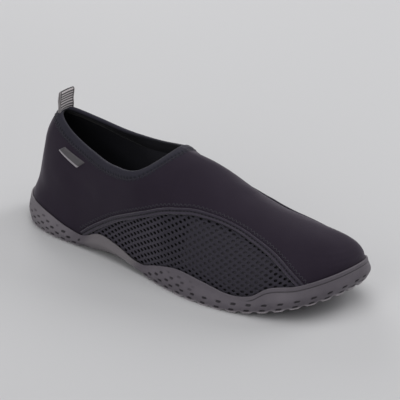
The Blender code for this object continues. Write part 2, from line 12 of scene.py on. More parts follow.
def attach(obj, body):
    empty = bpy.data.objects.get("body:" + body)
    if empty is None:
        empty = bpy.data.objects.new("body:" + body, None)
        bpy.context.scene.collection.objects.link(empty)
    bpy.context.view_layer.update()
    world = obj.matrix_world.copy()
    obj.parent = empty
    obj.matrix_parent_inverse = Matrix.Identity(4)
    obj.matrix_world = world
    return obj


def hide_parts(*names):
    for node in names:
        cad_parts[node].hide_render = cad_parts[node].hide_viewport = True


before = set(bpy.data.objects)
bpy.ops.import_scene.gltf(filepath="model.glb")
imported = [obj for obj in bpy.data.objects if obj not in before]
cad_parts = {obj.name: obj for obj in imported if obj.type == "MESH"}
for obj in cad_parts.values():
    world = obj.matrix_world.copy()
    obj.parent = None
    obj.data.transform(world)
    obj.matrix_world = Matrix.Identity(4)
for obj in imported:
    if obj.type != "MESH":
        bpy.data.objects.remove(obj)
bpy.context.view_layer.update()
print("frame:", len(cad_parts), "nodes")

mm = 0.001
near = 0.01  # step for slopes, in stations and in shares of the wall

# The last: stations 0 to 14 run from the toe tip down the outer side to the heel, 14 to 28 back
# along the inner side. Shares run from the foot of the wall (0) to its top (1).
last = {
    "length": 280.0,
    "ballWidth": 95.0,
    "instepHeight": 82.0,
    "heelHeight": 84.0,
    "toeSpring": 17.8,
    "springStart": 195.0,
    "archRise": 4.4,
    "archMiddle": 102.0,
    "archReach": 48.0,
    "archShare": 0.5,  # how much of the arch the sole's floor follows
    "floor": 5.0,
    "inset": 3.6,  # foot of the wall, in from the sole's outline
    "gap": 0.35,
    "wall": 2.5,
    "skirtReach": 9.0,
    "blendReach": 0.9,
    "blendSpan": 1.6,
    "blend": ((-1.0, 0.1), (-0.5, 0.2), (0.0, 0.4), (0.5, 0.2), (1.0, 0.1)),  # steps and weights
    "rimBlend": 0.3,  # collar stations to each side over which directions are averaged
    "toeBlend": 2.3,  # stations over which the two sides run together round the toe
    "axis": (3.0, 25.0),  # side and height of the shoe's middle line
}

# latAlong, latOut, medAlong, medOut, rise, flare, latCrown, medCrown, drop, skirt
sections = {
    "toeTip": (99.5, 12.6, 99.5, 12.6, 23, 2.0, 23, 23, 0, 0),
    "toePoint": (98.4, -6.3, 98.9, 24.7, 23, 2.0, 23, 23, 0, 0),
    "toeRound": (94.8, -23.2, 96.4, 34.7, 22, 1.8, 24, 24, 0, 0),
    "toeSide": (88.6, -36.8, 90.4, 43.2, 21, 1.5, 25, 25, 0, 0),
    "forefoot": (80.0, -46.3, 81.8, 48.1, 22, 2.0, 26, 26, 0, 0),
    "ball": (72.1, -50.8, 73.6, 48.5, 23, 2.0, 26, 26, 0, 0),
    "ballBack": (64.3, -51.8, 65.7, 45.9, 24, 1.5, 26, 26, 0, 0),
    "throat": (56.1, -49.5, 57.1, 39.5, 27, 0.5, 29, 25, 1, 0),
    "waistFront": (46.4, -44.2, 47.5, 31.4, 28, -0.5, 17, 7, 7, 0),
    "waist": (35.7, -40.2, 36.4, 28.4, 28, -1.0, 11, 6, 14, 0),
    "heelFront": (24.6, -37.9, 24.6, 32.0, 28, -2.0, 8, 7, 15, 0.5),
    "heelSide": (14.3, -35.8, 14.3, 34.7, 30, -3.5, 12, 12, 13, 2.0),
    "heelRound": (6.1, -28.4, 6.1, 28.9, 30, -4.5, 14, 14, 11, 3.0),
    "heelCorner": (1.4, -15.3, 1.4, 15.8, 30, -4.5, 14, 14, 10, 3.2),
    "heelBack": (0.0, 0.0, 0.0, 0.0, 30, -4.0, 13, 13, 10, 3.2),
}

# top line of the vamp from toe tip to throat: along, side, up
ridge = (
    (89.6, 13.2, 60.7),
    (88.2, 12.9, 61.5),
    (84.6, 11.4, 62.9),
    (78.6, 8.7, 65.6),
    (70.7, 6.3, 70.7),
    (62.9, 4.5, 81.1),
    (55.0, 2.9, 93.7),
    (47.1, 1.1, 100.0),
)

# edge of the collar from behind the throat to the heel: along, latOut, medOut, up
collar = (
    (41.8, -26.8, 27.9, 82.7),
    (33.2, -27.7, 28.7, 78.9),
    (24.3, -22.1, 23.2, 82.4),
    (16.4, -16.4, 17.1, 89.3),
    (11.4, -10.3, 10.5, 95.5),
    (9.2, -5.1, 5.1, 99.0),
    (8.6, 0.0, 0.0, 100.0),
)

# top edge of the rubber's side: along, height above the tread
soleEdgeRows = {
    "heelBack": (0.0, 18.5),
    "heelRound": (7.1, 17.6),
    "heelSide": (13.6, 14.8),
    "heelFront": (20.0, 10.2),
    "archStart": (24.6, 8.6),
    "archTop": (30.7, 14.7),
    "archFall": (37.1, 12.0),
    "archLow": (43.6, 7.0),
    "wingStart": (46.8, 7.0),
    "wingRise": (50.4, 10.5),
    "wingTop": (58.9, 16.2),
    "ball": (67.9, 14.6),
    "dip": (78.2, 10.3),
    "toeStep": (81.4, 11.2),
    "toeRise": (84.3, 15.0),
    "toeSide": (92.1, 14.8),
    "toeTip": (100.0, 16.0),
}

# arched top of the mesh panels: station, share
panelArc = np.array((
    (2.30, 0.10),
    (2.65, 0.25),
    (3.30, 0.475),
    (4.10, 0.605),
    (5.00, 0.62),
    (5.90, 0.57),
    (6.70, 0.52),
    (7.60, 0.49),
    (8.20, 0.45),
    (8.80, 0.355),
    (9.40, 0.205),
    (10.05, 0.03),
))


def ease(low, high, value):
    f = np.clip((value - low) / (high - low), 0, 1)
    return f * f * (3 - 2 * f)


def spline(rows, at, closed):  # smooth curve through rows at whole-number stations
    at = np.asarray(at, float)
    first = np.floor(at).astype(int)
    if closed:
        a, b, c, d = [rows[(first + step) % len(rows)] for step in (-1, 0, 1, 2)]
    else:
        first = np.clip(first, 0, len(rows) - 2)
        longer = np.concatenate([2 * rows[:1] - rows[1:2], rows, 2 * rows[-1:] - rows[-2:-1]])
        a, b, c, d = [longer[first + step] for step in (0, 1, 2, 3)]
    f = (at - first)[..., None]
    return b + 0.5 * f * (c - a + f * (2 * a - 5 * b + 4 * c - d + f * (3 * (b - c) + d - a)))


def hermite(low, high, lowSlope, highSlope, f):  # slopes are per span
    start = low * (1 + 2 * f) + lowSlope * f
    end = high * (3 - 2 * f) + highSlope * (f - 1)
    return start * (1 - f) ** 2 + end * f ** 2


def through(rows, at):  # smooth height through (along, up) rows at any spacing
    along, up = rows[:, 0], rows[:, 1]
    slope = np.gradient(up, along)
    i = np.clip(np.searchsorted(along, at) - 1, 0, len(rows) - 2)
    span = along[i + 1] - along[i]
    f = np.clip((at - along[i]) / span, 0, 1)
    return hermite(up[i], up[i + 1], slope[i] * span, slope[i + 1] * span, f)


def bothSides(lateral, medial):
    return np.concatenate([lateral, medial[-2:0:-1]])


def unit(vectors):
    return vectors / np.maximum(np.linalg.norm(vectors, axis=-1, keepdims=True), 1e-9)


def runOf(line):  # distance along a line of points
    return np.concatenate([[0], np.cumsum(np.linalg.norm(np.diff(line, axis=0), axis=1))])


def onSide(s, inner):  # stations of the outer side, or those facing them on the inner side
    return turn - s if inner else s


sectionRows = np.array(list(sections.values()), float)
heel = len(sectionRows) - 1
throat = len(ridge) - 1
turn = 2 * heel

alongScale = (last["length"] / 100, 1)  # for tables of place along the shoe and measure
planSize = np.array((last["length"], last["ballWidth"])) / 100
outlineRows = bothSides(sectionRows[:, 0:2] * planSize, sectionRows[:, 2:4] * planSize)
shapeRows = bothSides(sectionRows[:, [4, 5, 6, 8, 9]], sectionRows[:, [4, 5, 7, 8, 9]])
ridgeLine = np.array(ridge) * (last["length"], last["ballWidth"], last["instepHeight"]) / 100
rimSize = np.array((last["length"], last["ballWidth"], last["heelHeight"])) / 100
rimRows = np.array(collar)
collarLine = np.concatenate([
    ridgeLine[-1:],
    rimRows[:, [0, 1, 3]] * rimSize,
    (rimRows[:, [0, 2, 3]] * rimSize)[-2::-1],
])
edgeLine = np.array(list(soleEdgeRows.values())) * alongScale


def spring(x):
    lift = np.clip(x - last["springStart"], 0, None) / (last["length"] - last["springStart"])
    return last["toeSpring"] * lift ** 2


def archLift(x):
    across = np.clip((x - last["archMiddle"]) / last["archReach"], -1, 1)
    return last["archRise"] * np.cos(across * math.pi / 2) ** 2


def tread(x):
    return spring(x) + archLift(x)


def soleFloor(x):
    return last["floor"] + last["archShare"] * archLift(x) + spring(x)


def soleEdge(x):
    return spring(x) + through(edgeLine, x)


def outline(s):  # points of the sole's outline, and the directions out from there
    s = np.asarray(s, float)
    ahead = spline(outlineRows, s + near, True) - spline(outlineRows, s - near, True)
    return spline(outlineRows, s, True), unit(np.stack([-ahead[..., 1], ahead[..., 0]], -1))


def fromToe(s):
    s = np.mod(s, turn)
    return np.where(s > heel, turn - s, s)


def ridgeRow(s):  # place on the vamp's top line, turning smoothly at the toe
    row, reach = fromToe(s), last["toeBlend"]
    return np.where(row < reach, row ** 2 * (2 * reach - row) / reach ** 2, np.minimum(row, throat))


def wallTop(s):  # on the vamp's top line, or on the collar behind the throat
    s = np.mod(s, turn)
    row = fromToe(s)
    behind = np.where(s > heel, len(collarLine) - (row - throat), row - throat)
    onRidge = spline(ridgeLine, ridgeRow(s), False)
    return np.where((row <= throat)[..., None], onRidge, spline(collarLine, behind, True))


def joined(plan, height):
    return np.concatenate([plan, height[..., None]], -1)


def crownAt(s):  # handle below the wall's top
    edge, out = outline(s)
    crown, drop = np.moveaxis(spline(shapeRows, s, True), -1, 0)[2:4]
    end = wallTop(s)
    away = unit(edge - last["inset"] * out - end[..., :2])
    row = np.clip(ridgeRow(s), near, throat - near)
    run = spline(ridgeLine, row + near, False) - spline(ridgeLine, row - near, False)
    slope = run[..., 2] / run[..., 0] * np.clip(throat + 1 - fromToe(s), 0, 1)
    return end + joined(away * crown[..., None], slope * away[..., 0] * crown - drop)


def wallAt(s, t):  # outside of the upper
    s, t = np.asarray(s, float), np.asarray(t, float)
    edge, out = outline(s)
    rise, flare, _, _, skirt = np.moveaxis(spline(shapeRows, s, True), -1, 0)
    foot = edge - last["inset"] * out
    first = joined(foot, soleFloor(foot[..., 0]) + last["gap"])
    second = first + joined(out * flare[..., None], rise)
    reach = last["blendReach"] * np.exp(-((fromToe(s) - throat) / last["blendSpan"]) ** 2)
    third = sum(share * crownAt(s + step * reach) for step, share in last["blend"])
    soft = reach * np.clip(2 - 2 * t, 0, 1)  # the throat's corner fades out down the side
    fourth = sum(share * wallTop(s + step * soft) for step, share in last["blend"])
    u, v = (1 - t)[..., None], t[..., None]
    point = u ** 3 * first + 3 * u * u * v * second + 3 * u * v * v * third + v ** 3 * fourth
    above = point[..., 2] - soleEdge(edge[..., 0])
    swell = skirt * np.exp(-(above / last["skirtReach"]) ** 2)
    point[..., :2] += out * swell[..., None]
    return point


def wallOut(s, t):  # direction out of the wall
    s, t = np.broadcast_arrays(np.asarray(s, float), np.asarray(t, float))
    around = wallAt(s + near, t) - wallAt(s - near, t)
    upward = wallAt(s, t + near) - wallAt(s, t - near)
    return unit(np.cross(upward, around))


def liftedAt(s, t, lift):  # a point this far out from the wall
    s, t, lift = np.broadcast_arrays(s, t, lift)
    return wallAt(s, t) + lift[..., None] * wallOut(s, t)


def shareAt(s, height):  # how far up the wall it reaches a height near the sole
    steps = np.linspace(0, 0.6, 61)
    heights = wallAt(s[:, None], steps)[..., 2]
    return np.array([np.interp(want, row, steps) for want, row in zip(height, heights)])


def panelShare(s):
    return through(panelArc, fromToe(s))


roundSole = np.linspace(0, turn, 337)  # stations to measure the outline at


def soleMiddle():  # the origin stands over the middle of the rubber's plan
    belly = np.array(((0.0, 1.5), (20.0, 1.0), (30.0, 0.3), (42.0, 0.3), (50.0, 0.6), (100.0, 0.4)))
    edge, out = outline(roundSole)
    edge = edge + out * through(belly * alongScale, edge[:, 0])[:, None]
    return Vector((*((edge.min(0) + edge.max(0)) / 2), 0))


middle = soleMiddle()


# Mesh helpers

def newMesh(*masks):
    bm = bmesh.new()
    bm.loops.layers.uv.new("UVMap")
    for mask in masks:
        bm.verts.layers.float.new(mask)
    return bm


def addGrid(bm, points, outward=None, **masks):  # points and masks by row and column
    rows, columns = points.shape[0] - 1, points.shape[1] - 1
    made = bmesh.ops.create_grid(bm, x_segments=columns, y_segments=rows, size=1, calc_uvs=True)
    verts = made["verts"]
    flat = np.array([vert.co for vert in verts])
    i = np.rint((flat[:, 0] + 1) / 2 * columns).astype(int)
    j = np.rint((flat[:, 1] + 1) / 2 * rows).astype(int)
    for vert, point in zip(verts, points[j, i]):
        vert.co = point
    for mask, values in masks.items():
        layer = bm.verts.layers.float[mask]
        for vert, value in zip(verts, values[j, i]):
            vert[layer] = value
    if outward is not None:
        along = np.diff(points, axis=1)[:-1]
        upward = np.diff(points, axis=0)[:, :-1]
        facing = (np.cross(along, upward) * outward[:-1, :-1]).sum()
        if facing < 0:
            faces = list({face for vert in verts for face in vert.link_faces})
            bmesh.ops.reverse_faces(bm, faces=faces)
    return verts


def mergeSeams(bm, within=0.02):
    bmesh.ops.remove_doubles(bm, verts=bm.verts, dist=within)


def fromAxis(points):  # directions away from the shoe's middle line
    return (points - (0, *last["axis"])) * (0, 1, 1)


def addObject(name, data):
    obj = bpy.data.objects.new(name, data)
    bpy.context.scene.collection.objects.link(obj)
    return obj


def addMesh(name, bm, materials):
    mesh = bpy.data.meshes.new(name)
    bm.to_mesh(mesh)
    bm.free()
    for material in materials:
        mesh.materials.append(material)
    return addObject(name, mesh)


def addPiece(name, bm, materials, slot, *nodes):
    bmesh.ops.translate(bm, verts=bm.verts, vec=-middle)
    bmesh.ops.scale(bm, verts=bm.verts, vec=(mm, mm, mm))
    obj = addMesh(name, bm, materials)
    obj.data.shade_smooth()
    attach(obj, "root")
    if nodes:
        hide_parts(*nodes)
    print("piece:", name, len(obj.data.polygons), "faces")
    return obj


def thicken(obj, thickness, offset=-1.0, inner=0):
    wall = obj.modifiers.new("wall", "SOLIDIFY")
    wall.thickness = thickness * mm
    wall.offset = offset
    wall.material_offset = inner
    wall.material_offset_rim = inner
    return wall


def smoothen(obj, levels):
    made = obj.modifiers.new("smooth", "SUBSURF")
    made.levels = levels
    made.render_levels = levels


def addStitch(bm, at, along, out, size):  # size is length, width and height of the thread
    along = Vector(along).normalized()
    out = Vector(out)
    out = (out - along * out.dot(along)).normalized()
    turned = Matrix((along, out.cross(along), out)).transposed().to_4x4()
    place = Matrix.Translation(at) @ turned @ Matrix.Diagonal((*size, 1)) @ Matrix.Scale(0.5, 4)
    bmesh.ops.create_uvsphere(bm, u_segments=8, v_segments=5, radius=1, matrix=place)


def addZigzag(bm, places, along, across, out, pitch, tall, size):
    for k, at in enumerate(places):
        lean = tall if k % 2 else -tall
        addStitch(bm, at, along[k] * pitch + across[k] * lean, out[k], size)


# Material helpers

def addNode(tree, kind, inputs=None, **settings):
    made = tree.nodes.new(kind)
    for key, value in settings.items():
        setattr(made, key, value)
    for key, value in (inputs or {}).items():
        if isinstance(value, bpy.types.NodeSocket):
            tree.links.new(value, made.inputs[key])
        else:
            made.inputs[key].default_value = value
    return made


def calc(tree, operation, first, second=0.0):
    return addNode(tree, "ShaderNodeMath", {0: first, 1: second}, operation=operation).outputs[0]


def mixed(tree, share, first, second):
    made = addNode(tree, "ShaderNodeMix", {0: share, 6: first, 7: second}, data_type="RGBA")
    return made.outputs[2]


def ranged(tree, value, fromLow, fromHigh, toLow, toHigh):
    return addNode(tree, "ShaderNodeMapRange", {
        "Value": value, "From Min": fromLow, "From Max": fromHigh,
        "To Min": toLow, "To Max": toHigh}).outputs[0]


def newGroup(name, inputs, outputs):
    tree = bpy.data.node_groups.new(name, "ShaderNodeTree")
    for label, kind, value in inputs:
        socket = tree.interface.new_socket(label, in_out="INPUT", socket_type=kind)
        if value is not None:
            socket.default_value = value
    for label, kind in outputs:
        tree.interface.new_socket(label, in_out="OUTPUT", socket_type=kind)
    start = tree.nodes.new("NodeGroupInput")
    end = tree.nodes.new("NodeGroupOutput")
    return tree, start.outputs, end


def newMaterial(name, roughness, **shaderValues):
    material = bpy.data.materials.new(name)
    material.use_nodes = True
    tree = material.node_tree
    shader = tree.nodes["Principled BSDF"]
    shader.inputs["Roughness"].default_value = roughness
    for label, value in shaderValues.items():
        shader.inputs[label.replace("_", " ")].default_value = value
    return material, tree, shader


def useGroup(tree, group, **inputs):
    return addNode(tree, "ShaderNodeGroup", inputs, node_tree=group).outputs


def paint(tree, shader, colour):
    tree.links.new(colour, shader.inputs["Base Color"])


def bumped(tree, shader, height, strength, distance):
    made = addNode(tree, "ShaderNodeBump", {"Height": height, "Strength": strength,
                                            "Distance": distance * mm})
    tree.links.new(made.outputs[0], shader.inputs["Normal"])


def summed(tree, first, firstShare, second, secondShare):
    return calc(tree, "ADD", calc(tree, "MULTIPLY", first, firstShare),
                calc(tree, "MULTIPLY", second, secondShare))


def objectPlace(tree):
    return addNode(tree, "ShaderNodeTexCoord").outputs["Object"]


def maskOf(tree, name):
    return addNode(tree, "ShaderNodeAttribute", attribute_name=name).outputs["Fac"]


def makeKnitGroup():  # rows of small chevron stitches, one for each unit of the map
    tree, start, end = newGroup(
        "knitFace", [("Map", "NodeSocketVector", None)], [("Height", "NodeSocketFloat")])
    split = addNode(tree, "ShaderNodeSeparateXYZ", {0: start["Map"]}).outputs
    side = calc(tree, "PINGPONG", split["X"], 0.5)
    slanted = calc(tree, "ADD", split["Y"], side)
    legs = calc(tree, "SINE", calc(tree, "MULTIPLY", slanted, 2 * math.pi))
    wales = calc(tree, "SINE", calc(tree, "MULTIPLY", side, 2 * math.pi))
    both = calc(tree, "MULTIPLY", calc(tree, "ABSOLUTE", wales), ranged(tree, legs, -1, 1, 0.25, 1))
    tree.links.new(both, end.inputs["Height"])
    return tree


def makeToneGroup():  # broad unevenness of dye and wear, and fine speckle
    tree, start, end = newGroup(
        "unevenTone",
        [("Place", "NodeSocketVector", None), ("Broad", "NodeSocketFloat", 30.0),
         ("Fine", "NodeSocketFloat", 900.0)],
        [("Tone", "NodeSocketFloat"), ("Speckle", "NodeSocketFloat")])
    broad = addNode(tree, "ShaderNodeTexNoise", {
        "Vector": start["Place"], "Scale": start["Broad"], "Detail": 4.0, "Roughness": 0.55})
    fine = addNode(tree, "ShaderNodeTexNoise", {
        "Vector": start["Place"], "Scale": start["Fine"], "Detail": 2.0, "Roughness": 0.6})
    tree.links.new(ranged(tree, broad.outputs[0], 0.3, 0.7, 0, 1), end.inputs["Tone"])
    tree.links.new(ranged(tree, fine.outputs[0], 0.3, 0.7, 0, 1), end.inputs["Speckle"])
    return tree


knitGroup = makeKnitGroup()
toneGroup = makeToneGroup()


def toned(tree, broad, fine):
    return useGroup(tree, toneGroup, Place=objectPlace(tree), Broad=broad, Fine=fine)


# The knit mixes dark and light. Masks over it have a range and one colour, or two for the knit.
def clothMaterial(name, roughness, threads, depth, dark, light, over=(), grain=None, toneShare=0.0,
                  **shaderValues):
    material, tree, shader = newMaterial(name, roughness, **shaderValues)
    place = addNode(tree, "ShaderNodeTexCoord").outputs["UV"]
    place = addNode(tree, "ShaderNodeMapping", {"Vector": place, "Scale": (*threads, 1)}).outputs[0]
    knit = useGroup(tree, knitGroup, Map=place)["Height"]
    share, height, strength = knit, knit, 0.4
    if grain:  # uneven dye, and a nap on the knit
        tone = toned(tree, *grain)
        share = summed(tree, tone["Tone"], toneShare, knit, 1 - toneShare)
        height = summed(tree, tone["Speckle"], 0.5, knit, 1)
        strength = 0.5
    face = mixed(tree, share, (*dark, 1), (*light, 1))
    for mask, reach, *colours in over:
        shades = [(*colour, 1) for colour in colours]
        top = mixed(tree, share, *shades) if len(shades) > 1 else shades[0]
        face = mixed(tree, ranged(tree, maskOf(tree, mask), *reach), face, top)
    paint(tree, shader, face)
    bumped(tree, shader, height, strength, depth)
    return material


def makeNeoprene():  # fine jersey face: faint ribs across a soft nap
    material, tree, shader = newMaterial(
        "neoprene", 0.85, Specular_IOR_Level=0.2, Sheen_Weight=0.28, Sheen_Roughness=0.4,
        Sheen_Tint=(0.75, 0.7, 0.78, 1))
    tone = toned(tree, 22.0, 1900.0)
    ribs = addNode(tree, "ShaderNodeTexWave", {
        "Vector": objectPlace(tree), "Scale": 260.0, "Distortion": 1.5, "Detail": 2.0,
        "Detail Scale": 3.0}, bands_direction="X").outputs["Fac"]
    share = summed(tree, tone["Tone"], 0.55, tone["Speckle"], 0.45)
    paint(tree, shader, mixed(tree, share, (0.0180, 0.0122, 0.0222, 1), (0.0285, 0.0208, 0.0345, 1)))
    tree.links.new(ranged(tree, tone["Speckle"], 0, 1, 0.78, 0.92), shader.inputs["Roughness"])
    bumped(tree, shader, summed(tree, tone["Speckle"], 1, ribs, 0.35), 0.45, 0.1)
    return material


neoprene = makeNeoprene()
dyed = {"grain": (24.0, 1400.0), "toneShare": 0.5}
liningCloth = clothMaterial(
    "liningCloth", 0.9, (900, 120), 0.1, (0.006, 0.006, 0.010), (0.011, 0.011, 0.017), **dyed)
foamCloth = clothMaterial(
    "foamCloth", 0.9, (160, 500), 0.12, (0.008, 0.008, 0.011), (0.014, 0.013, 0.018), **dyed)
thread = clothMaterial(
    "thread", 0.65, (3, 3), 0.05, (0.030, 0.027, 0.040), (0.055, 0.050, 0.066), **dyed)


# Rubber outsole

sole = {
    "sideColumns": 528,  # on each side of the shoe
    "sideRows": 44,
    "sheetRows": 8,
    "archFrom": 69.0,
    "archTo": 131.0,
    "archFade": 14.0,
    "toeCells": 16,
    "heelCells": 8,
    "lugDepth": 2.2,
    "lugLength": 7.0,
    "lugSlope": 1.2,
    "lugStart": (0.04, 0.30),  # flanks, in shares of a cell
    "lugEnd": (0.70, 0.96),
    "lugBulge": 0.5,
    "bulgeTo": 0.35,
    "scallop": 0.42,  # how much of a lug's depth shows along the edge
    "footSteps": (2.5, 0.9),  # rings underneath, in from the foot of the side
    "bellyAt": 0.45,
    "shoulderAt": 0.82,
    "lip": 1.4,
    "lipStep": 0.7,
    "lipCrown": 0.35,
    "front": (165.0, 195.0),  # where the heel's dimples give way to the toe's
    "dimpleRows": (2.3, 4.9, 7.5, 10.1, 12.7),  # heights above the tread
    "dimpleRowsFront": (1.9, 5.9, 8.5, 10.1, 12.7),
    "dimpleDepths": (0.9, 0.9, 0.75, 0.5, 0.35),
    "dimpleFront": (1.0, 0.85, 0.0, 0.0, 0.0),  # share of the depth towards the toe
    "dimpleShift": (0.5, 0.4, 0.12),  # of every other row, in cells: heel, waist, toe
    "dimpleSize": (3.6, 1.5),
    "dimpleSoft": (0.15, 1.9),
    "dimpleSlant": 0.35,
    "dimpleTop": 1.7,  # bare rubber kept below the edge
    "dimpleFade": 1.5,
    "heelHighlight": 0.26,  # how much paler the heel's side is painted, a painted highlight
    "heelHighlightFade": (30.0, 75.0),
    "rubbedGap": 0.35,  # share of the painted highlight kept between the lugs
    "rubbedTo": 0.13,
    "rubbedFrom": (0.5, 4.0),  # rings underneath over which the painted highlight sets in
    "toeLineFrom": 222.0,
    "toeLineFade": 6.0,
    "toeLine": 2.3,
    "toeLineWidth": 0.35,
    "toeLineDepth": 0.5,
}
soleTuck = alongScale * np.array((
    (0.0, 0.2), (20.0, 0.4), (30.0, 2.2), (42.0, 2.2), (50.0, 0.5), (86.0, 0.6), (95.0, 2.0), (100.0, 3.2)))
soleBelly = alongScale * np.array((
    (0.0, 1.5), (20.0, 1.0), (30.0, 0.3), (42.0, 0.3), (50.0, 0.6), (86.0, 0.6), (95.0, 0.5), (100.0, 0.4)))


def soleBase(x):
    return spring(x) + np.maximum(sole["lugDepth"], archLift(x))


def soleColumns():  # stations round the sole, even along its outline, with lug cell and pitch
    fine = np.linspace(0, heel, 2001)
    found = []
    for inner in (False, True):
        s = onSide(fine, inner)
        point, _ = outline(s)
        run = runOf(point)
        toeEnd, heelStart = np.interp([-sole["archTo"], -sole["archFrom"]], -point[:, 0], run)
        r = np.linspace(0, run[-1], sole["sideColumns"] + 1)
        toePitch = toeEnd / sole["toeCells"]
        heelPitch = (run[-1] - heelStart) / sole["heelCells"]
        cell = np.where(r <= toeEnd, r / toePitch, np.nan)
        cell = np.where(r >= heelStart, (r - heelStart) / heelPitch, cell)
        pitch = np.where(r >= heelStart, heelPitch, toePitch)
        order = slice(-2, None, -1) if inner else slice(None)
        found.append(np.array((np.interp(r, run, s), cell, pitch))[:, order])
    return np.concatenate(found, axis=1)


def between(knots, rows, q):  # smooth curve through four rings at these knots
    spans = np.diff(knots)
    slopes = [(rows[k + 1] - rows[k]) / spans[k] for k in range(3)]
    ends = [slopes[0], (slopes[0] + slopes[1]) / 2, (slopes[1] + slopes[2]) / 2, slopes[2]]
    k = min(int(np.searchsorted(knots, q, "right")) - 1, 2)
    f = (q - knots[k]) / spans[k]
    return hermite(rows[k], rows[k + 1], ends[k] * spans[k], ends[k + 1] * spans[k], f)


def paintedArchLight(x):  # bare rubber between the lugs of heel and forefoot, painted paler there as a painted highlight
    fade = sole["archFade"]
    return ease(0, fade, x - sole["archFrom"]) * ease(0, fade, sole["archTo"] - x)


def dimpleDent(x, above, rise, inCell, pitch):  # how deep the dimples are at these heights
    front = ease(*sole["front"], x)
    heelShift, waistShift, toeShift = sole["dimpleShift"]
    shift = np.where(x < sole["archFrom"], heelShift, waistShift + (toeShift - waistShift) * front)
    length, height = sole["dimpleSize"]
    dent = 0 * x
    rows = zip(sole["dimpleRows"], sole["dimpleRowsFront"], sole["dimpleDepths"], sole["dimpleFront"])
    for k, (heelLevel, toeLevel, depth, toeShare) in enumerate(rows):
        level = heelLevel + (toeLevel - heelLevel) * front
        along = (np.mod(inCell + shift * (k % 2), 1) - 0.5) * pitch
        along = along + sole["dimpleSlant"] * (above - level)
        shape = (2 * along / length) ** 4 + (2 * (above - level) / height) ** 4
        fits = ease(0, sole["dimpleFade"], rise - sole["dimpleTop"] - level)
        fits = fits * (1 - (1 - toeShare) * front)
        dent = np.maximum(dent, depth * fits * (1 - ease(*sole["dimpleSoft"], shape)))
    return dent


def makeOutsole():
    s, cell, pitch = soleColumns()
    edge, out = outline(s)
    x = edge[:, 0]
    tuck, belly = through(soleTuck, x), through(soleBelly, x)
    high = soleEdge(x)
    rise = high - tread(x)
    share = shareAt(s, high)
    lugged = ~np.isnan(cell)
    inCell = np.where(lugged, np.mod(np.nan_to_num(cell), 1), 0)
    lug = lugged * ease(*sole["lugStart"], inCell) * (1 - ease(*sole["lugEnd"], inCell))
    shown = lugged * (1 - sole["scallop"] * (1 - lug))
    bottom = soleBase(x) + shown * (tread(x) - soleBase(x))

    def side(reach, height):
        return joined(edge + out * reach[:, None], height)

    def underneath(inset, lugs):
        plan = edge - inset * out
        base = soleBase(plan[:, 0])
        return joined(plan, base + lugs * (tread(plan[:, 0]) - base))

    lip = liftedAt(s, share, last["gap"] + sole["lip"])
    lipInside = liftedAt(s, share, last["gap"])
    corner = liftedAt(s, 0 * s, last["gap"])
    corner[:, 2] = soleFloor(corner[:, 0])
    knots = (0, sole["bellyAt"], sole["shoulderAt"], 1)
    ringRows = (
        side(-tuck, bottom),
        side(belly, tread(x) + sole["bellyAt"] * rise),
        lip + joined(out * sole["lipStep"], (sole["shoulderAt"] - 1) * rise),
        lip,
    )
    flankStep, footStep = (step + np.maximum(tuck, 0)[:, None] for step in sole["footSteps"])
    rings = [
        underneath(sole["lugLength"] + sole["lugSlope"], 0 * lug),
        underneath(sole["lugLength"], lug),
        underneath(flankStep, lug),
        underneath(footStep, (lug + 3 * shown) / 4),
    ]
    below = len(rings)
    dents = [0 * lug] * below
    for q in np.linspace(0, 1, sole["sideRows"] + 1):
        ring = between(knots, ringRows, q)
        dent = lugged * dimpleDent(x, ring[:, 2] - tread(x), rise, inCell, pitch)
        line = np.exp(-((high - ring[:, 2] - sole["toeLine"]) / sole["toeLineWidth"]) ** 2)
        groove = sole["toeLineDepth"] * line * ease(0, sole["toeLineFade"], x - sole["toeLineFrom"])
        bulge = sole["lugBulge"] * (lug - 0.5) * lugged * (1 - ease(0, sole["bulgeTo"], q))
        ring[:, :2] += out * (bulge - dent - groove)[:, None]
        rings.append(ring)
        dents.append(dent + groove)
    inward = [(2 * lip + lipInside) / 3, (lip + 2 * lipInside) / 3, lipInside,
              liftedAt(s, share / 2, last["gap"]), corner]
    for ring in inward[:2]:
        ring[:, 2] += sole["lipCrown"]
    points = np.array(rings + inward)
    dents += [0 * lug] * len(inward)
    row = np.arange(len(points))
    # Painted highlight: the side's lower edge along the lugs, and the heel's side, are painted paler.
    under = ease(*sole["rubbedFrom"], row)
    level = np.clip(row - below, 0, sole["sideRows"]) / sole["sideRows"]
    lugHighlight = (sole["rubbedGap"] + (1 - sole["rubbedGap"]) * lug) * lugged
    lugHighlight = lugHighlight * (1 - ease(0, sole["rubbedTo"], level))[:, None]
    heelHighlight = sole["heelHighlight"] * (1 - ease(*sole["heelHighlightFade"], x))
    rubbed = np.maximum(lugHighlight, heelHighlight) * under[:, None]
    bm = newMesh("dent", "rubbed", "smooth")
    addGrid(bm, points, dent=np.array(dents), rubbed=rubbed, smooth=paintedArchLight(points[..., 0]))
    half = sole["sideColumns"] + 1
    across = np.linspace(0, 1, sole["sheetRows"] + 1)[:, None, None]
    for ring, height in ((points[0], soleBase), (points[-1], soleFloor)):
        sheet = ring[:half] + (ring[::-1][:half] - ring[:half]) * across
        sheet[1:-1, :, 2] = height(sheet[1:-1, :, 0])
        addGrid(bm, sheet, smooth=paintedArchLight(sheet[..., 0]))
    mergeSeams(bm)
    bmesh.ops.recalc_face_normals(bm, faces=bm.faces)
    addPiece("outsole_rubber", bm, [rubber], "outsole", "outsole")


studs = {"radius": 6.4, "taper": 0.6, "pitch": 20.0, "row": 17.5, "margin": 17.0, "root": 1.2, "round": 0.6}


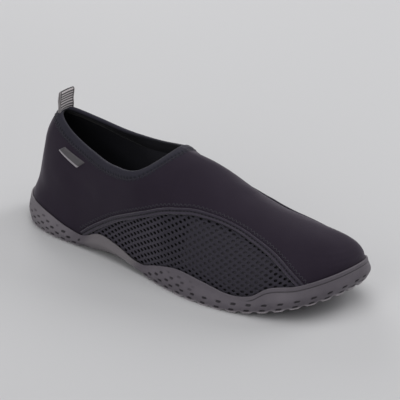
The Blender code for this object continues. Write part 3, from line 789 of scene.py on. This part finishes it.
def makeStuds():
    edge, _ = outline(roundSole)
    bm = newMesh("dent", "rubbed", "smooth")
    for row in range(int(last["length"] / studs["row"])):
        x = (row + 0.5) * studs["row"]
        if sole["archFrom"] - studs["radius"] < x < sole["archTo"] + studs["radius"]:
            continue
        beside = edge[np.abs(edge[:, 0] - x) < studs["radius"], 1]
        for column in range(-3, 4):
            y = (column + 0.5 * (row % 2)) * studs["pitch"]
            clear = np.linalg.norm(edge - (x, y), axis=1).min()
            if clear < studs["margin"] or not beside.min() < y < beside.max():
                continue
            made = bmesh.ops.create_cone(
                bm, cap_ends=True, segments=6, radius1=studs["radius"],
                radius2=studs["radius"] + studs["taper"], depth=sole["lugDepth"])
            for vert in made["verts"]:
                tip = vert.co.z < 0
                vert.co.x += x
                vert.co.y += y
                at = np.float64(vert.co.x)
                vert.co.z = tread(at) if tip else soleBase(at) + studs["root"]
    bmesh.ops.bevel(bm, geom=bm.edges, offset=studs["round"], offset_type="OFFSET", affect="EDGES",
                    segments=2, profile=0.5, material=-1)
    addPiece("sole_studs", bm, [rubber], "outsole")


def makeRubber():
    material, tree, shader = newMaterial("mouldedRubber", 0.55, Specular_IOR_Level=0.4)
    tone = toned(tree, 45.0, 2600.0)
    face = mixed(tree, tone["Tone"], (0.106, 0.093, 0.110, 1), (0.142, 0.126, 0.146, 1))
    # Painted highlight: the bare arch, marked by the smooth mask, is painted paler, as if lit.
    face = mixed(tree, maskOf(tree, "smooth"), face, (0.185, 0.170, 0.180, 1))
    # Painted highlight: the lug edges and the heel's side are painted paler.
    face = mixed(tree, maskOf(tree, "rubbed"), face, (0.40, 0.37, 0.39, 1))
    # Painted shade: the dimples and the toe's groove are painted darker, as if in shade.
    dentShade = ranged(tree, maskOf(tree, "dent"), 0.05, 0.55, 0, 0.92)
    paint(tree, shader, mixed(tree, dentShade, face, (0.022, 0.018, 0.023, 1)))
    tree.links.new(ranged(tree, tone["Speckle"], 0, 1, 0.48, 0.68), shader.inputs["Roughness"])
    bumped(tree, shader, tone["Speckle"], 0.35, 0.12)
    return material


rubber = makeRubber()
makeOutsole()
makeStuds()


# Neoprene upper

upper = {
    "columns": 392,
    "rows": 60,
    "creaseRim": (0.45, 1.7),  # height and place of the swell beside a crease
    "settle": ((228.0, 37.0), (234.0, 40.0), (240.0, 43.0)),  # ahead of and above these
    "settlePasses": 45,
}
# soft creases: station and share at each end, width, depth
creases = (
    (4.95, 0.74, 4.45, 0.96, 6.0, 0.16),  # flex line over the ball
    (23.55, 0.96, 23.10, 0.76, 6.0, 0.16),
    (12.20, 0.30, 12.90, 0.55, 7.0, 0.45),  # dents beside the heel
    (15.80, 0.30, 15.10, 0.55, 7.0, 0.45),
    (9.80, 0.50, 10.90, 0.60, 6.0, 0.35),  # slack below the collar
    (18.20, 0.50, 17.10, 0.60, 6.0, 0.35),
)


def creaseLift(points):
    lift = np.zeros(points.shape[:-1])
    rim, rimAt = upper["creaseRim"]
    f = np.linspace(0, 1, 25)
    for startStation, startShare, endStation, endShare, width, depth in creases:
        line = wallAt(startStation + (endStation - startStation) * f,
                      startShare + (endShare - startShare) * f)
        d = np.linalg.norm(points[..., None, :] - line, axis=-1).min(-1) / width
        lift += depth * (rim * np.exp(-(d - rimAt) ** 2) - np.exp(-d ** 2))
    return lift


def settleToe(bm):  # evens the cloth where the columns run together
    for ahead, above in upper["settle"]:
        verts = [vert for vert in bm.verts
                 if vert.co.x > ahead and vert.co.z > above and not vert.is_boundary]
        for _ in range(upper["settlePasses"]):
            bmesh.ops.smooth_vert(bm, verts=verts, factor=0.5, use_axis_x=True, use_axis_y=True,
                                  use_axis_z=True)


def makeUpper():
    s = np.linspace(0, turn, upper["columns"] + 1)
    low = panelShare(s)
    t = low + (1 - low) * np.linspace(0, 1, upper["rows"] + 1)[:, None]
    s = np.broadcast_to(s, t.shape)
    points = liftedAt(s, t, creaseLift(wallAt(s, t)))
    onRidge = fromToe(s[-1]) <= throat
    points[-1, onRidge] = ((points[-1] + points[-1, ::-1]) / 2)[onRidge]  # both sides meet there
    bm = newMesh()
    addGrid(bm, points, fromAxis(points))
    mergeSeams(bm, 0.05)
    settleToe(bm)
    obj = addPiece("upper_neoprene", bm, [neoprene, liningCloth], "upper", "upper")
    thicken(obj, last["wall"], inner=1)


def wholeSkin(rows, columns):  # the wall without its windows, to seat things on
    s = np.linspace(0, turn, columns + 1)
    points = wallAt(*np.broadcast_arrays(s, np.linspace(0, 1, rows + 1)[:, None]))
    bm = newMesh()
    addGrid(bm, points, fromAxis(points))
    mergeSeams(bm)
    bm.normal_update()
    return BVHTree.FromBMesh(bm)


skin = wholeSkin(40, 224)
makeUpper()


def seated(points, lift):  # points moved onto the wall, then out by lift
    flat = points.reshape(-1, 3)
    lifts = np.broadcast_to(lift, points.shape[:-1]).reshape(-1)
    found = [skin.find_nearest(Vector(p)) for p in flat]
    moved = [place + normal * up for (place, normal, _, _), up in zip(found, lifts)]
    return np.array(moved).reshape(points.shape)


def wallNormals(points):
    return np.array([skin.find_nearest(Vector(p))[1] for p in points])


def collarFrame(k):  # the collar's edge, the direction out of the wall, and the one down it
    rim = spline(collarLine, k, True)
    run = unit(spline(collarLine, k + near, True) - spline(collarLine, k - near, True))
    blend = last["rimBlend"]
    out = sum(wallNormals(spline(collarLine, k + step, True)) for step in (-blend, 0.0, blend))
    out = unit(out - (out * run).sum(-1, keepdims=True) * run)
    return rim, out, np.cross(out, run)


# Insole

insole = {
    "columns": 120,
    "rows": 24,
    "thickness": 3.0,
    "clear": 0.5,
    "round": 1.3,
    "roundPower": 10,
    "under": 0.2,  # clear of the sole's floor
}


def insoleTop(x):
    return soleFloor(x) + last["gap"] + insole["thickness"]


def makeInsole():
    inside = -(last["wall"] + insole["clear"])
    s = np.linspace(0, heel, insole["columns"] + 1)
    rims = []
    for side in (s, turn - s):
        foot = wallAt(side, 0 * side)
        rims.append(liftedAt(side, shareAt(side, insoleTop(foot[:, 0])), inside))
    across = np.linspace(0, 1, insole["rows"] + 1)[:, None]
    points = rims[0] + (rims[1] - rims[0]) * across[..., None]
    edge = np.abs(2 * across - 1) ** insole["roundPower"]
    points[..., 2] = insoleTop(points[..., 0]) - insole["round"] * edge
    bm = newMesh()
    addGrid(bm, points, points * (0, 0, 1))
    mergeSeams(bm)
    obj = addPiece("insole_foam", bm, [foamCloth], "insole", "insole")
    thicken(obj, insole["thickness"] - insole["round"] - insole["under"])


makeInsole()


# Mesh side panels: an open net over a lining

net = {
    "pitch": 4.0,
    "hole": 2.75,
    "holeBall": 0.84,  # share of the hole left where the net is stretched over the ball
    "waist": (0.56, 0.64),  # shares of the panel's length over which ball turns to waist
    "slants": (-35.0, 33.0),  # degrees the two ways of the yarn lean from the sole
    "cells": 46,
    "middle": 20.0,  # height of the lattice's middle
    "sink": 0.3,
    "knot": 0.22,  # how far the crossings stand out
    "yarn": 0.5,
    "ends": (2.34, 10.01),
    "levelShare": 0.3,
    "over": 0.05,  # share of the wall above the arch that heights are taken to
    "spread": 15,  # samples to each side over which heights are averaged
    "edge": 0.5,
}


def panelPlace(inner):  # from millimetres along and up a panel to stations and shares
    s = np.linspace(*net["ends"], 400)
    run = runOf(wallAt(s, 0 * s + net["levelShare"]))
    top = panelShare(s) + net["over"]
    climb = wallAt(s[:, None], top[:, None] * np.linspace(0, 1, 30))
    length = np.linalg.norm(np.diff(climb, axis=1), axis=-1).sum(1) / top
    window = 2 * net["spread"] + 1
    length = np.convolve(np.pad(length, net["spread"], "edge"), np.ones(window) / window, "valid")

    def place(a, b):
        return onSide(np.interp(a, run, s), inner), b / np.interp(a, run, length)

    return place, run[-1]


def makeNet(side, inner):
    place, reach = panelPlace(inner)
    count, pitch = net["cells"], net["pitch"]
    bm = newMesh("node", "waist")
    bmesh.ops.create_grid(bm, x_segments=count, y_segments=count, size=count * pitch / 2, calc_uvs=True)
    down, up = (math.radians(slant) for slant in net["slants"])
    slanted = Matrix(((math.cos(down), math.cos(up), 0), (math.sin(down), math.sin(up), 0), (0, 0, 1)))
    slanted = Matrix.Translation((reach / 2, net["middle"], 0)) @ slanted.to_4x4()
    bmesh.ops.transform(bm, verts=bm.verts, matrix=slanted)
    centres = np.array([face.calc_center_median() for face in bm.faces])
    s, t = place(centres[:, 0], centres[:, 1])
    top = panelShare(s) / np.maximum(t, 1e-6) * centres[:, 1] - net["edge"] + 0.5 * pitch
    inside = (centres[:, 0] > 0) & (centres[:, 0] < reach) & (t > 0) & (centres[:, 1] < top)
    outside = [face for face, keep in zip(bm.faces, inside) if not keep]
    bmesh.ops.delete(bm, geom=outside, context="FACES")
    node, waist = (bm.verts.layers.float[mask] for mask in ("node", "waist"))
    for vert in bm.verts:
        vert[node] = 1.0
    cells = list(bm.faces)
    bmesh.ops.inset_individual(bm, faces=cells, thickness=(pitch - net["hole"]) / 2, use_even_offset=True)
    span = [share * reach for share in net["waist"]]
    for face in cells:
        centre = face.calc_center_median()
        size = net["holeBall"] + (1 - net["holeBall"]) * float(ease(*span, centre.x))
        for vert in face.verts:
            vert[node] = 0.0
            vert.co = centre + (vert.co - centre) * size
    bmesh.ops.delete(bm, geom=cells, context="FACES_ONLY")
    flat = np.array([vert.co for vert in bm.verts])
    knot = np.array([vert[node] for vert in bm.verts])
    s, t = place(np.clip(flat[:, 0], 0, reach), flat[:, 1])
    points = liftedAt(s, np.maximum(t, 0), net["knot"] * knot - net["sink"])
    for vert, point, loose in zip(bm.verts, points, ease(*span, flat[:, 0])):
        vert.co = point
        vert[waist] = loose
    bm.normal_update()
    lean = sum(face.normal.y for face in bm.faces)
    if (lean > 0) != inner:
        bmesh.ops.reverse_faces(bm, faces=bm.faces)
    obj = addPiece("mesh_net_" + side, bm, [netYarn], "mesh", "mesh_panel_" + side)
    thicken(obj, net["yarn"])
    smoothen(obj, 2)


netYarn = clothMaterial(
    "netYarn", 0.75, (300, 300), 0.08, (0.026, 0.023, 0.034), (0.044, 0.040, 0.054),
    over=[("waist", (0, 1, 0, 1), (0.042, 0.037, 0.052), (0.068, 0.061, 0.080))],
    grain=(24.0, 1400.0), Specular_IOR_Level=0.25, Sheen_Weight=0.25, Sheen_Roughness=0.4)

backing = {
    "columns": 150,
    "rows": 40,
    "thickness": 0.4,
    "close": 0.15,
    "deep": 1.3,
    # it lies deep, and is painted in shade, behind the waist, below the band, at the toe and along the sole
    "waist": (163.5, 168.5),
    "border": (2.75, 5.5),
    "toe": (228.0, 240.0),
    "soleEdge": (1.5, 5.0),
}


def makeBacking(side, inner):
    s = onSide(np.linspace(*net["ends"], backing["columns"] + 1), inner)
    t = panelShare(s) * np.linspace(0, 1, backing["rows"] + 1)[:, None]
    s = np.broadcast_to(s, t.shape)
    points = wallAt(s, t)
    x = points[..., 0]
    deep = np.maximum.reduce([
        1 - ease(*backing["waist"], x),
        1 - ease(*backing["border"], np.linalg.norm(points - points[-1], axis=-1)),
        ease(*backing["toe"], x),
        1 - ease(*backing["soleEdge"], points[..., 2] - soleEdge(x)),
    ])
    sunk = net["sink"] + net["yarn"] + backing["close"] + (backing["deep"] - backing["close"]) * deep
    points = liftedAt(s, t, -sunk)
    bm = newMesh("deep")
    addGrid(bm, points, fromAxis(points), deep=deep)
    obj = addPiece("mesh_backing_" + side, bm, [backingCloth], "mesh")
    thicken(obj, backing["thickness"])


# Painted shade: where the backing lies deep it is painted near black, as if in shadow.
backingCloth = clothMaterial(
    "backingCloth", 0.85, (420, 110), 0.1, (0.026, 0.023, 0.030), (0.040, 0.036, 0.046),
    over=[("deep", (0, 1, 0, 1), (0.004, 0.0035, 0.006))])


# Stitched band along each panel's arch

band = {
    "ends": (2.37, 10.0),
    "columns": 260,
    "width": 4.8,
    # across in shares of half the width, height: two folded edges and a groove between
    "profile": ((-1.0, -0.3), (-0.93, 0.5), (-0.55, 1.05), (-0.17, 0.55), (0.0, 0.15),
                (0.17, 0.55), (0.55, 1.05), (0.93, 0.5), (1.0, -0.3)),
    "rows": 36,
    "fold": (0.3, 0.95),  # heights between the groove, painted in shade, and the folds
    "stitch": (2.0, 0.5, 0.42),
    "stitchPitch": 2.7,
    "stitchLift": 0.35,
    "zigzagAbove": 4.4,
    "zigzagLift": 0.12,
    "zigzagPitch": 1.5,
    "zigzagTall": 2.2,
    "zigzagStitch": (2.7, 0.62, 0.5),
}


def bandFrame(s):  # middle of the band, and the directions along, across and out
    arc = panelShare(s)
    along = unit(wallAt(s + near, panelShare(s + near)) - wallAt(s - near, panelShare(s - near)))
    out = wallOut(s, arc)
    across = unit(np.cross(out, along))
    across *= np.sign(across[..., 2:3])
    return wallAt(s, arc), along, across, out


def evenStations(pitch, inner):  # stations a pitch apart along the arch
    s = np.linspace(*band["ends"], 800)
    run = runOf(wallAt(s, panelShare(s)))
    return onSide(np.interp(np.arange(pitch / 2, run[-1], pitch), run, s), inner)


def makeBand(side, inner):
    s = onSide(np.linspace(*band["ends"], band["columns"] + 1), inner)
    centre, _, across, out = bandFrame(s)
    share = np.sin(np.linspace(-0.5, 0.5, band["rows"] + 1) * math.pi)[:, None, None]
    height = through(np.array(band["profile"]), share)
    points = centre + share * band["width"] / 2 * across + height * out
    folds = np.broadcast_to(ease(*band["fold"], height[..., 0]), points.shape[:-1])
    bm = newMesh("fold")
    addGrid(bm, points, np.broadcast_to(out, points.shape), fold=folds)
    addPiece("panel_band_cloth_" + side, bm, [bandCloth], "panel_band", "panel_band_" + side)
    bm = newMesh()
    centre, along, _, out = bandFrame(evenStations(band["stitchPitch"], inner))
    for at, run, up in zip(centre + band["stitchLift"] * out, along, out):
        addStitch(bm, at, run, up, band["stitch"])
    centre, along, across, out = bandFrame(evenStations(band["zigzagPitch"], inner))
    places = seated(centre + band["zigzagAbove"] * across, band["zigzagLift"])
    addZigzag(bm, places, along, across, out, band["zigzagPitch"], band["zigzagTall"], band["zigzagStitch"])
    addPiece("panel_stitches_" + side, bm, [thread], "panel_band")


# Painted shade: the groove and the tucked edges are painted darker.
bandCloth = clothMaterial(
    "bandCloth", 0.8, (420, 9), 0.12, (0.040, 0.033, 0.050), (0.062, 0.053, 0.074),
    over=[("fold", (0, 1, 1, 0), (0.008, 0.006, 0.011))],
    grain=(40.0, 1600.0), Specular_IOR_Level=0.25, Sheen_Weight=0.35, Sheen_Roughness=0.4)
for side, inner in (("outer", False), ("inner", True)):
    makeNet(side, inner)
    makeBacking(side, inner)
    makeBand(side, inner)


# Collar binding

binding = {
    "columns": 672,
    "outside": 7.0,
    "inside": 6.5,
    "proud": 0.6,
    "edge": 0.05,
    "swell": 0.5,  # share of the width over which it rises from its edge
    "turnAt": 0.12,  # share of the width where it turns over the rim
    "crown": 1.35,
    "middle": 3.0,  # depth of the fold's middle below the rim
    "rows": (12, 8, 9),  # outside, over the edge, inside
    "hidden": (0.4, 0.8),  # where the painted shade sets in on its way over
    "thickness": 0.5,
    "stitchPitch": 1.3,
    "stitchAt": 5.2,
    "stitchTall": 2.6,
    "stitchSunk": 0.42,
    "stitch": (2.9, 0.5, 0.36),
    "pucker": 0.3,  # how far the sewing draws the tape in
    "puckerFrom": (0.4, 0.6),
    "puckerTo": (0.88, 1.0),
}


def tapePuff(f):  # how far the tape stands off the wall
    return binding["edge"] + (binding["proud"] - binding["edge"]) * ease(0, binding["swell"], 1 - f)


def makeBinding():
    k = np.linspace(0, len(collarLine), binding["columns"] + 1)
    rim, out, down = collarFrame(np.mod(k, len(collarLine)))
    half = last["wall"] / 2
    outRows, overRows, inRows = binding["rows"]
    run = runOf(rim)
    pulls = int(run[-1] / binding["stitchPitch"] / 2)
    pucker = 0.5 + 0.5 * np.cos(2 * math.pi * pulls * run / run[-1])
    rings, drawn = [], []
    for f in np.linspace(1, binding["turnAt"], outRows):
        held = pucker * ease(*binding["puckerFrom"], f) * (1 - ease(*binding["puckerTo"], f))
        rings.append(seated(rim + f * binding["outside"] * down, tapePuff(f) - binding["pucker"] * held))
        drawn.append(held)
    core = rim - half * out
    for angle in np.linspace(0, math.pi, overRows):
        reach = (half + binding["proud"]) * math.cos(angle)
        rings.append(core + reach * out - binding["crown"] * math.sin(angle) * down)
    for f in np.linspace(binding["turnAt"], 1, inRows):
        rings.append(seated(rim + f * binding["inside"] * down, -(last["wall"] + tapePuff(f))))
    points = np.array(rings)
    drawn += [0 * pucker] * (overRows + inRows)
    # Painted shade: the tape is painted darker as it turns over the edge to the inside.
    over = [outRows + share * overRows for share in binding["hidden"]]
    hidden = np.broadcast_to(ease(*over, np.arange(len(rings)))[:, None], points.shape[:-1])
    outward = points - (core + binding["middle"] * down)
    bm = newMesh("drawn", "hidden")
    addGrid(bm, points, outward, drawn=np.array(drawn), hidden=hidden)
    mergeSeams(bm)
    obj = addPiece("collar_binding_tape", bm, [bindingTape], "collar_binding", "collar_binding")
    thicken(obj, binding["thickness"])


def makeBindingStitches():
    fine = np.linspace(0, len(collarLine), 1200)
    run = runOf(spline(collarLine, fine, True))
    count = 2 * int(run[-1] / binding["stitchPitch"] / 2)
    k = np.interp((np.arange(count) + 0.5) * run[-1] / count, run, fine)
    rim, out, down = collarFrame(k)
    places = seated(rim + binding["stitchAt"] * down, binding["proud"] - binding["stitchSunk"])
    bm = newMesh()
    addZigzag(bm, places, np.cross(down, out), down, wallNormals(places),
              binding["stitchPitch"], binding["stitchTall"], binding["stitch"])
    addPiece("collar_stitches", bm, [thread], "collar_binding")


# Painted shade: where the sewing draws the tape in, it is painted darker.
bindingTape = clothMaterial(
    "bindingTape", 0.8, (620, 40), 0.12, (0.020, 0.019, 0.030), (0.034, 0.032, 0.047),
    over=[("drawn", (0, 1, 0, 0.75), (0.005, 0.005, 0.009)),
          ("hidden", (0, 1, 0, 1), (0.006, 0.006, 0.009))],
    grain=(40.0, 1600.0), toneShare=0.4, Specular_IOR_Level=0.25, Sheen_Weight=0.12, Sheen_Roughness=0.4)
makeBinding()
makeBindingStitches()


# Webbing loop at the heel

loop = {
    "halfWidth": 1.5,  # collar stations
    "columns": 32,
    "steps": 14,
    "thickness": 1.25,
    "thin": 0.6,  # share of the thickness between ribs
    "lean": 0.12,
    "flatFrom": (0.0, 8.0),
    "flatShare": (0.6, 0.9),
    "forward": 0.3,
    "held": 3.0,  # depth over which it settles on the wall
    "ribPitch": 2.05,
    "ribTo": (0.80, 0.90),  # shares of half the width
    "selvedge": (0.90, 0.97),
    # above the collar's edge, out from the wall: from the end outside to the end inside
    "path": ((-6.0, -0.4), (-4.5, -0.4), (-2.5, -0.45), (0.0, -0.5), (2.5, -0.45), (7.0, -0.4),
             (13.0, -0.4), (15.2, -0.5), (16.0, -1.25), (15.2, -2.0), (13.0, -2.1), (7.0, -2.1),
             (2.5, -2.05), (0.0, -2.0), (-2.5, -2.1), (-6.0, -2.1)),
}


def makeLoop():
    path = np.array(loop["path"])
    at = np.linspace(0, len(path) - 1, (len(path) - 1) * loop["steps"] + 1)
    width = np.linspace(-1, 1, loop["columns"] + 1)
    rim, out, down = collarFrame(len(collarLine) / 2 + width * loop["halfWidth"])
    centre = loop["columns"] // 2
    across = (rim - rim[centre]) * (0, 1, 0)
    rows = []
    for up, reach in spline(path, at, False):
        lean = np.array((loop["lean"] * up + loop["forward"], 0, up))
        flat = rim[centre] + reach * out[centre] + lean + across
        curved = rim + reach * np.sign(out[:, 0:1]) * (1, 0, 0) - up * down
        curved[:, 1] = flat[:, 1]  # the strap keeps its width
        share = np.interp(up, loop["flatFrom"], loop["flatShare"])
        free = (1 - share) * curved + share * flat
        if up < 0:
            onWall = seated(rim[centre] - up * down[centre] + across, reach)
            held = ease(0, loop["held"], -up)
            free = (1 - held) * free + held * onWall
        rows.append(free)
    points = np.array(rows)
    rib = 0.5 + 0.5 * np.cos(2 * math.pi * runOf(points[:, centre]) / loop["ribPitch"])
    ribs = rib[:, None] * (1 - ease(*loop["ribTo"], np.abs(width)))
    selvedge = np.broadcast_to(ease(*loop["selvedge"], np.abs(width)), ribs.shape)
    bm = newMesh("rib", "selvedge")
    addGrid(bm, points, rib=ribs, selvedge=selvedge)
    obj = addPiece("pull_loop_webbing", bm, [webbing], "pull_loop", "pull_loop")
    group = obj.vertex_groups.new(name="ribWeight")
    layer = obj.data.attributes["rib"].data
    for i in range(len(obj.data.vertices)):
        group.add([i], layer[i].value, "REPLACE")
    wall = thicken(obj, loop["thickness"], 0.0)
    wall.vertex_group = "ribWeight"
    wall.thickness_vertex_group = loop["thin"]


webbing = clothMaterial(
    "ribbedWebbing", 0.7, (90, 20), 0.15, (0.55, 0.51, 0.52), (0.74, 0.69, 0.70),
    over=[("rib", (0.34, 0.54, 1, 0), (0.016, 0.014, 0.017)),
          ("selvedge", (0, 1, 0, 0.6), (0.55, 0.51, 0.52), (0.74, 0.69, 0.70))],
    Sheen_Weight=0.2)
makeLoop()


# Plain folded label

label = {
    # station and share of the corners: low back, high back, high front, low front
    "corners": ((11.22, 0.715), (10.98, 0.81), (10.08, 0.82), (10.36, 0.685)),
    "columns": 40,
    "rows": 14,
    "sunk": 0.3,
    "rise": 1.65,  # from its sunk edge
    "foldPower": 6,
    "endPower": 30,
}


def makeLabel():
    lowBack, highBack, highFront, lowFront = np.array(label["corners"])
    along = np.linspace(0, 1, label["columns"] + 1)[None, :, None]
    up = np.linspace(0, 1, label["rows"] + 1)[:, None, None]
    front = lowFront + (highFront - lowFront) * up
    back = lowBack + (highBack - lowBack) * up
    place = front + (back - front) * along
    fold = 1 - np.abs(2 * up[..., 0] - 1) ** label["foldPower"]
    ends = 1 - np.abs(2 * along[..., 0] - 1) ** label["endPower"]
    lift = label["rise"] * fold * ends - label["sunk"]
    points = liftedAt(place[..., 0], place[..., 1], lift)
    rim = np.broadcast_to(1 - up[..., 0], lift.shape)
    bm = newMesh("rim")
    addGrid(bm, points, fromAxis(points), rim=rim)
    addPiece("side_label_tape", bm, [labelTape], "side_label", "side_label")


labelTape = clothMaterial(
    "labelTape", 0.55, (60, 20), 0.12, (0.06, 0.056, 0.062), (0.11, 0.10, 0.11),
    over=[("rim", (0.68, 0.76, 0, 1), (0.44, 0.41, 0.44))], Sheen_Weight=0.2)
makeLabel()


# Floor, lights and camera

studio = {
    "floorSize": 40.0,
    "floorColour": (0.62, 0.62, 0.63, 1),
    "world": (0.9, 0.9, 0.92, 1),
    "worldStrength": 0.25,
    # place, aim, size, power
    "lights": {
        "top": ((0.15, 0.0, 1.3), (0, 0, 0.03), 1.6, 8.5),
        "front": ((0.2, -1.55, 0.8), (0, 0, 0.03), 1.2, 6.1),
        "leftRim": ((-1.1, 0.9, 0.55), (0, 0, 0.05), 0.8, 6.0),
        "backRim": ((0.6, 1.3, 0.8), (0, 0, 0.05), 1.0, 9.0),
    },
}


def makeStudio():
    bm = newMesh()
    bmesh.ops.create_grid(bm, x_segments=1, y_segments=1, size=studio["floorSize"] / 2, calc_uvs=True)
    material, _, shader = newMaterial("paleFloor", 0.8)
    shader.inputs["Base Color"].default_value = studio["floorColour"]
    floor = addMesh("floor", bm, [material])
    world = bpy.data.worlds.new("studio")
    world.use_nodes = True
    sky = world.node_tree.nodes["Background"].inputs
    sky["Color"].default_value = studio["world"]
    sky["Strength"].default_value = studio["worldStrength"]
    bpy.context.scene.world = world
    for name, (place, aim, size, power) in studio["lights"].items():
        light = bpy.data.lights.new(name, "AREA")
        light.shape = "DISK"
        light.size = size
        light.energy = power
        lamp = addObject(name, light)
        lamp.location = place
        lamp.rotation_euler = (Vector(aim) - Vector(place)).to_track_quat("-Z", "Y").to_euler()


view = {
    "azimuth": 39.44,
    "elevation": 25.32,
    "roll": -0.48,
    "distance": 1.7096,
    "lens": 221.6,
    "aim": (1.217, 1.514, 35.0),
    "shift": (7.5, 8.75),  # millimetres right and up, to frame the shoe as in the photo
}


def makeCamera():
    a, e, r = (math.radians(view[key]) for key in ("azimuth", "elevation", "roll"))
    back = Vector((math.sin(a) * math.cos(e), -math.cos(a) * math.cos(e), math.sin(e)))
    level = Vector((math.cos(a), math.sin(a), 0))
    upright = back.cross(level)
    right = math.cos(r) * level + math.sin(r) * upright
    up = back.cross(right)
    data = bpy.data.cameras.new("camera")
    data.sensor_width = 36.0
    data.lens = view["lens"]
    aim = (Vector(view["aim"]) + view["shift"][0] * right + view["shift"][1] * up) * mm
    turned = Matrix((right, up, back)).transposed().to_4x4()
    camera = addObject("camera", data)
    camera.matrix_world = Matrix.Translation(aim + back * view["distance"]) @ turned
    bpy.context.scene.camera = camera


makeStudio()
makeCamera()
bpy.context.scene.view_settings.view_transform = "Standard"
